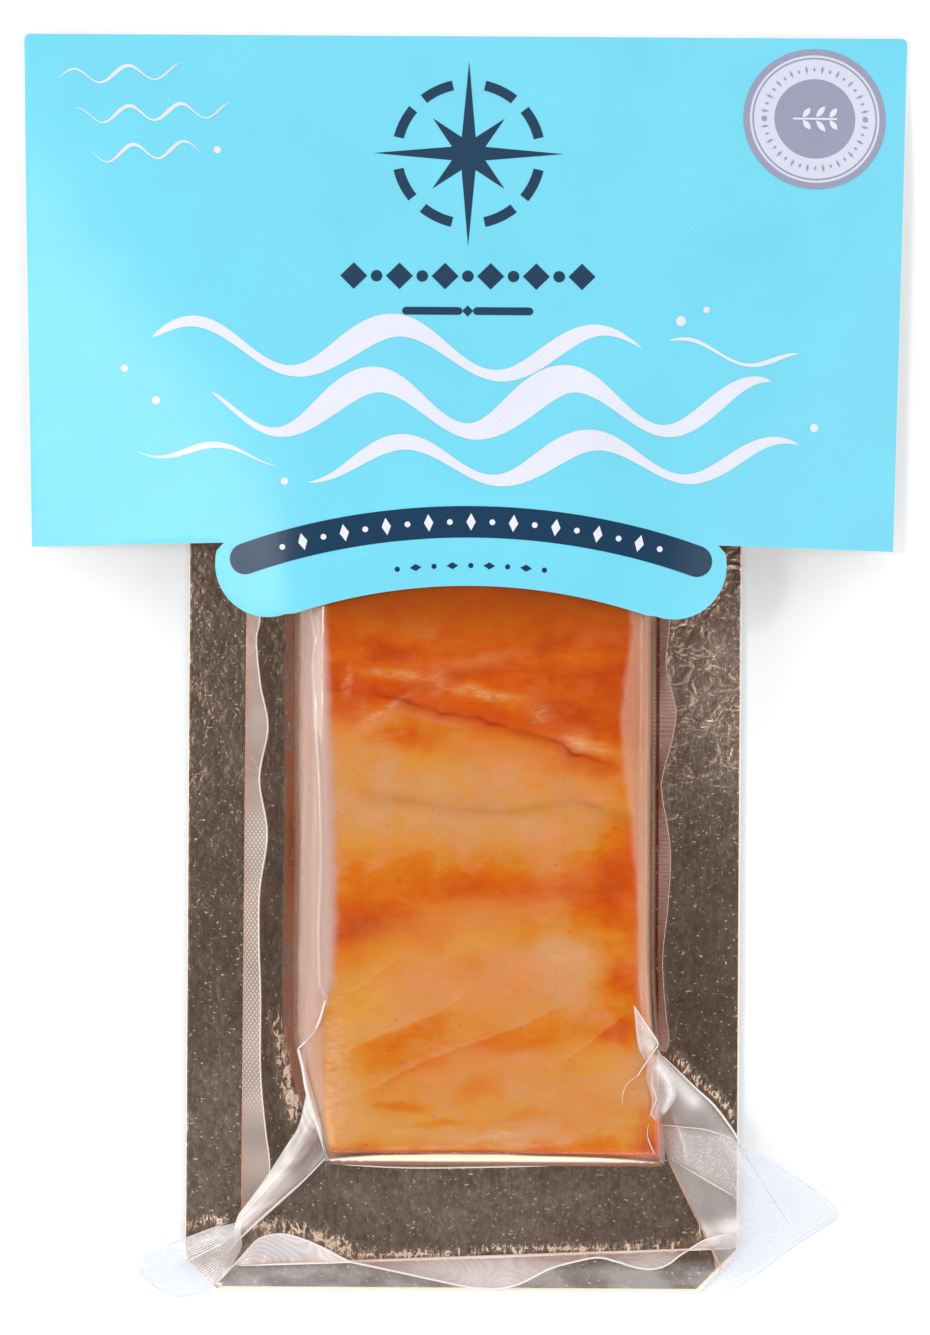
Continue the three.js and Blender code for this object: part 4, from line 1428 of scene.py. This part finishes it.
def loft(lines, columns, rows):
    """A sheet through several lines, smooth both along them and across."""
    def place(u, v):
        return curve_point([curve_point(line, u) for line in lines], v)

    return grid(columns, rows, place)


def over_board(x, y):
    """1 over the board, 0 over the floor beside it."""
    left = BOARD["x"] - BOARD["width"] / 2
    right = BOARD["x"] + BOARD["width"] / 2
    lower = BOARD["lower_y"]
    left_corner = (x - left + y - lower - BOARD["left_cut"]) * 0.7
    right_corner = (right - x + y - lower - BOARD["right_cut"]) * 0.7
    inside = min(x - left, right - x, y - lower, left_corner, right_corner)
    return ease(-0.8, 0.8, inside)


def corner_film_piece(name, bm, film, **numbers):
    """A sheet of film at a corner, cool where it lies over the floor."""
    paint_shares(bm, cool=lambda x, y: 1 - over_board(x, y), **numbers)
    return piece(name, bm, "clear_film", film)


def bead(name, points, radius, film, bright):
    """A fine rolled edge or fold of film, as a tapering tube."""
    def place(u, v):
        centre = curve_point(points, u)
        ahead = (curve_point(points, u + 0.01) - curve_point(points, u - 0.01)).normalized()
        side = ahead.cross(Vector((0, 0, 1))).normalized()
        up = side.cross(ahead)
        angle = 2 * math.pi * v
        reach = radius * (0.3 + 0.7 * math.sqrt(clamp(math.sin(math.pi * clamp(u)), 0, 1)))
        return centre + (side * math.cos(angle) + up * math.sin(angle)) * reach

    length = sum((Vector(a) - Vector(b)).length for a, b in zip(points, points[1:]))
    bm = grid(max(int(length / FILM_STEP), 12), 8, place)
    bmesh.ops.remove_doubles(bm, verts=bm.verts[:], dist=1e-4)
    bmesh.ops.recalc_face_normals(bm, faces=bm.faces[:])
    # The bright number paints a highlight on the bead
    paint_shares(bm, haze=lambda x, y: 0.5 + 0.35 * bright, cool=lambda x, y: 1 - over_board(x, y),
               bright=lambda x, y: bright * over_board(x, y))
    return piece(name, bm, "clear_film", film)


def seam_pieces(edge_film):
    left_film = clear_film("left_seam_film", rows=(0.9, 1.3), warm=(0.70, 0.54, 0.47))
    ribbed_film = clear_film("ribbed_film", ribs=(194, 0), warm=(0.98, 0.80, 0.74))
    lower_film = clear_film("lower_seam_film", contours=24, warm=(0.90, 0.82, 0.81))

    def uneven(haze):
        return lambda x, y: haze + 0.12 * wander(x, y, 7, 67)

    def blush_along(base):
        return lambda x, y: 0.8 * near(x, y, base, 0.7)

    seam(
        "left_seam", LEFT_SEAM, LEFT_SEAM_EDGE, (left_film, edge_film),
        lambda x, y: mix(0.1, 1, ease(-119, -106, y)), 0.2, 0.9,
        haze=uneven(0.46), blush=blush_along(LEFT_SEAM),
        frosted=lambda x, y: 0.8 * ease(-28, -34, y) * ease(-100, -90, y))
    seam(
        "right_seam", RIGHT_SEAM, RIGHT_SEAM_EDGE, (ribbed_film, edge_film),
        lambda x, y: 0.45, 0.1, 0.6,
        haze=uneven(0.8), ribbed=lambda x, y: 1.0)
    seam(
        "lower_seam", LOWER_SEAM, LOWER_SEAM_EDGE, (lower_film, edge_film),
        lambda x, y: mix(0.1, 1, ease(60, 50, x)), 0.24, 0.9,
        haze=uneven(0.62), blush=blush_along(LOWER_SEAM))
    start, end = [Vector((x, y, POUCH_Z + 0.4)) for x, y in LOWER_SEAM]
    bead("lower_seam_foot", [start, start.lerp(end, 0.5), end], 0.34, edge_film, 0.95)


def corner_pieces():
    ribbon_film = clear_film("ribbon_film", streaks=7, contours=10, warm=(0.92, 0.81, 0.77))
    flap_film = clear_film("flap_film", streaks=3, ribs=(0, 26), warm=(0.84, 0.74, 0.70))
    web_film = clear_film("web_film", streaks=3, ribs=(0, 30), warm=(0.86, 0.77, 0.74))
    # The bright numbers paint highlights on the corner films
    waist = [(-31.5, -90), (-35.5, -101), (-41, -110), (-48, -120), (-52, -124)]
    clear_gap = [(-31, -104), (-35, -109)]
    corner_film_piece(
        "left_ribbon", loft(LEFT_RIBBON, 80, 40), ribbon_film,
        haze=lambda x, y: 0.5 + 0.35 * near(x, y, waist, 3.5) - 0.25 * near(x, y, clear_gap, 2.5),
        bright=lambda x, y: 0.8 * near(x, y, waist, 1.5) + 0.7 * near(x, y, LEFT_FOLD_LINE, 1.0))
    corner_film_piece(
        "left_flap", loft(LEFT_FLAP, 90, 50), flap_film,
        haze=lambda x, y: 0.28 + 0.32 * over_board(x, y),
        bright=lambda x, y: 0.6 * near(x, y, [(-47, -120), (-52, -125)], 3.5),
        ribbed=lambda x, y: over_board(x, y) * ease(-49, -52, x),
        frosted=lambda x, y: 0.6 * over_board(x, y) * ease(-49, -52, x))
    corner_film_piece(
        "right_web", loft(RIGHT_WEB, 130, 90), web_film, haze=web_haze,
        bright=lambda x, y: 0.95 * near(x, y, WEB_HIGHLIGHT, 1.5) + 0.8 * near(x, y, WEB_FOOT_HIGHLIGHT, 2.0),
        ribbed=lambda x, y: 0.35 * ease(-111, -116, y) * (1 - over_board(x, y)), frosted=web_frost)
    corner_film_piece(
        "top_flap", loft(TOP_FLAP, 24, 12), web_film, haze=lambda x, y: 0.5,
        bright=lambda x, y: 0.8 * near(x, y, [(38.4, -76), (40.6, -80.5)], 1.2))
    corner_film_piece(
        "corner_curl", loft(CURL, 50, 24), web_film,
        haze=lambda x, y: 0.26 + 0.5 * near(x, y, CURL_HIGHLIGHT, 0.8),
        bright=lambda x, y: near(x, y, CURL_HIGHLIGHT, 0.6))


def above_web_crease(x, y):
    """How far a point of the right web is above its crease line, in mm."""
    return y + 105.8 + (x - 45.7) * 0.585


def web_frost(x, y):
    """Light dots on the right web, in a band over the board."""
    return ease(-98, -101, y) * ease(0, 2, above_web_crease(x, y)) * over_board(x, y) * 0.55


def web_haze(x, y):
    """The right web is milky, and clearer above its curve and below its crease."""
    frosted_band = ease(-97.5, -100, y + 0.15 * (x - 44)) * ease(-0.5, 0.5, above_web_crease(x, y))
    lit = 0.5 * near(x, y, WEB_HIGHLIGHT, 2.2) + 0.45 * near(x, y, WEB_FOOT_HIGHLIGHT, 2.2)
    on_board = 0.34 + 0.24 * frosted_band + lit
    return clamp(mix(0.27 + 0.06 * wander(x, y, 5, 91), on_board, over_board(x, y)))


def pouch_pieces():
    film_sheet(clear_film("clear_film", warm=(0.55, 0.39, 0.335)))
    edge_film = clear_film("edge_film", warm=(0.86, 0.52, 0.38))
    seam_pieces(edge_film)
    corner_pieces()
    for name, (points, radius, bright) in FOLDS.items():
        bead(name, points, radius, edge_film, bright)


# Studio

FLOOR_GAP = 0.0002

# Soft boxes: place in metres, width, height and watts
LIGHTS = {
    "upper_left_box": ((-0.93, 0.12, 1.25), 0.2, 0.2, 3.5),
    "left_strip": ((-1.2, 0.0, 0.7), 0.12, 1.2, 1.6),
    "right_strip": ((1.2, 0.0, 0.75), 0.12, 1.2, 0.9),
    "lower_strip": ((0.0, -1.2, 0.7), 1.1, 0.12, 3.0)}

# The photograph's long side in pixels, one of its pixels in metres on the board, and the camera's
# height over the board, its sensor in mm, its place to the side and its turn in degrees
PHOTO_LONG_SIDE = 1335
PIXEL = 0.000217
CAMERA = dict(height=1.1, sensor=36, x=0.00069, turn=0.35)


def floor_piece():
    bm = bmesh.new()
    bmesh.ops.create_grid(bm, x_segments=1, y_segments=1, size=1.5)
    mesh = bpy.data.meshes.new("floor")
    bm.to_mesh(mesh)
    bm.free()
    material = new_material("white_floor")
    tree = material.node_tree
    shader = add(tree, "ShaderNodeBsdfPrincipled", {
        "Base Color": (0.93, 0.93, 0.93, 1), "Roughness": 0.9, "Emission Color": (1, 1, 1, 1),
        "Emission Strength": 0.08})
    finish_material(tree, shader.outputs[0])
    mesh.materials.append(material)
    floor = bpy.data.objects.new("floor", mesh)
    floor.location.z = -FLOOR_GAP
    bpy.context.scene.collection.objects.link(floor)


def area_light(name, place, width, height, watts):
    """A soft box that points at the middle of the pack."""
    data = bpy.data.lights.new(name, "AREA")
    data.shape = "RECTANGLE"
    data.size = width
    data.size_y = height
    data.energy = watts
    light = bpy.data.objects.new(name, data)
    light.location = place
    light.rotation_euler = (-Vector(place)).to_track_quat("-Z", "Y").to_euler()
    bpy.context.scene.collection.objects.link(light)


def studio():
    floor_piece()
    for name, settings in LIGHTS.items():
        area_light(name, *settings)
    bpy.context.scene.world = studio_sky()
    bpy.context.scene.view_settings.view_transform = "Standard"


def studio_sky():
    """Even light from the sides, with a dark ceiling."""
    world = bpy.data.worlds.new("studio")
    world.use_nodes = True
    tree = world.node_tree
    direction = add(tree, "ShaderNodeTexCoord").outputs["Generated"]
    height = add(tree, "ShaderNodeSeparateXYZ", {0: direction}).outputs[2]
    strength = level(tree, height, 0.64, 0.97, 1.35, 0.10)
    tree.links.new(strength, tree.nodes["Background"].inputs["Strength"])
    tree.nodes["Background"].inputs["Color"].default_value = (0.96, 0.98, 1.0, 1)
    return world


def photo_camera():
    """Looks straight down, with the photograph's frame on the board."""
    data = bpy.data.cameras.new("camera")
    data.sensor_width = CAMERA["sensor"]
    data.lens = CAMERA["sensor"] * CAMERA["height"] / (PHOTO_LONG_SIDE * PIXEL)
    camera = bpy.data.objects.new("camera", data)
    camera.location = (CAMERA["x"], SHIFT_Y / 1000, CAMERA["height"] + POUCH_Z / 1000)
    camera.rotation_euler = (0, 0, math.radians(CAMERA["turn"]))
    bpy.context.scene.collection.objects.link(camera)
    bpy.context.scene.camera = camera


INKS = dict(
    turquoise_print=(0.185, 0.68, 0.85), navy_print=(0.009, 0.042, 0.092),
    white_print=(0.79, 0.79, 0.88), grey_print=(0.33, 0.33, 0.45), pale_print=(0.69, 0.71, 0.82))


def build():
    turquoise, navy, white, grey, pale = [printed_card(name, ink) for name, ink in INKS.items()]
    core = bare_card("card_core", (0.82, 0.82, 0.80))
    header_pieces(turquoise, core)
    band_prints(navy, white)
    compass_prints(navy)
    brush_prints(white)
    corner_prints(white)
    badge_prints(grey, pale, white)
    board_piece(bronze_foil(), core)
    fillet_piece(smoked_flesh())
    pouch_pieces()
    studio()
    photo_camera()


build()
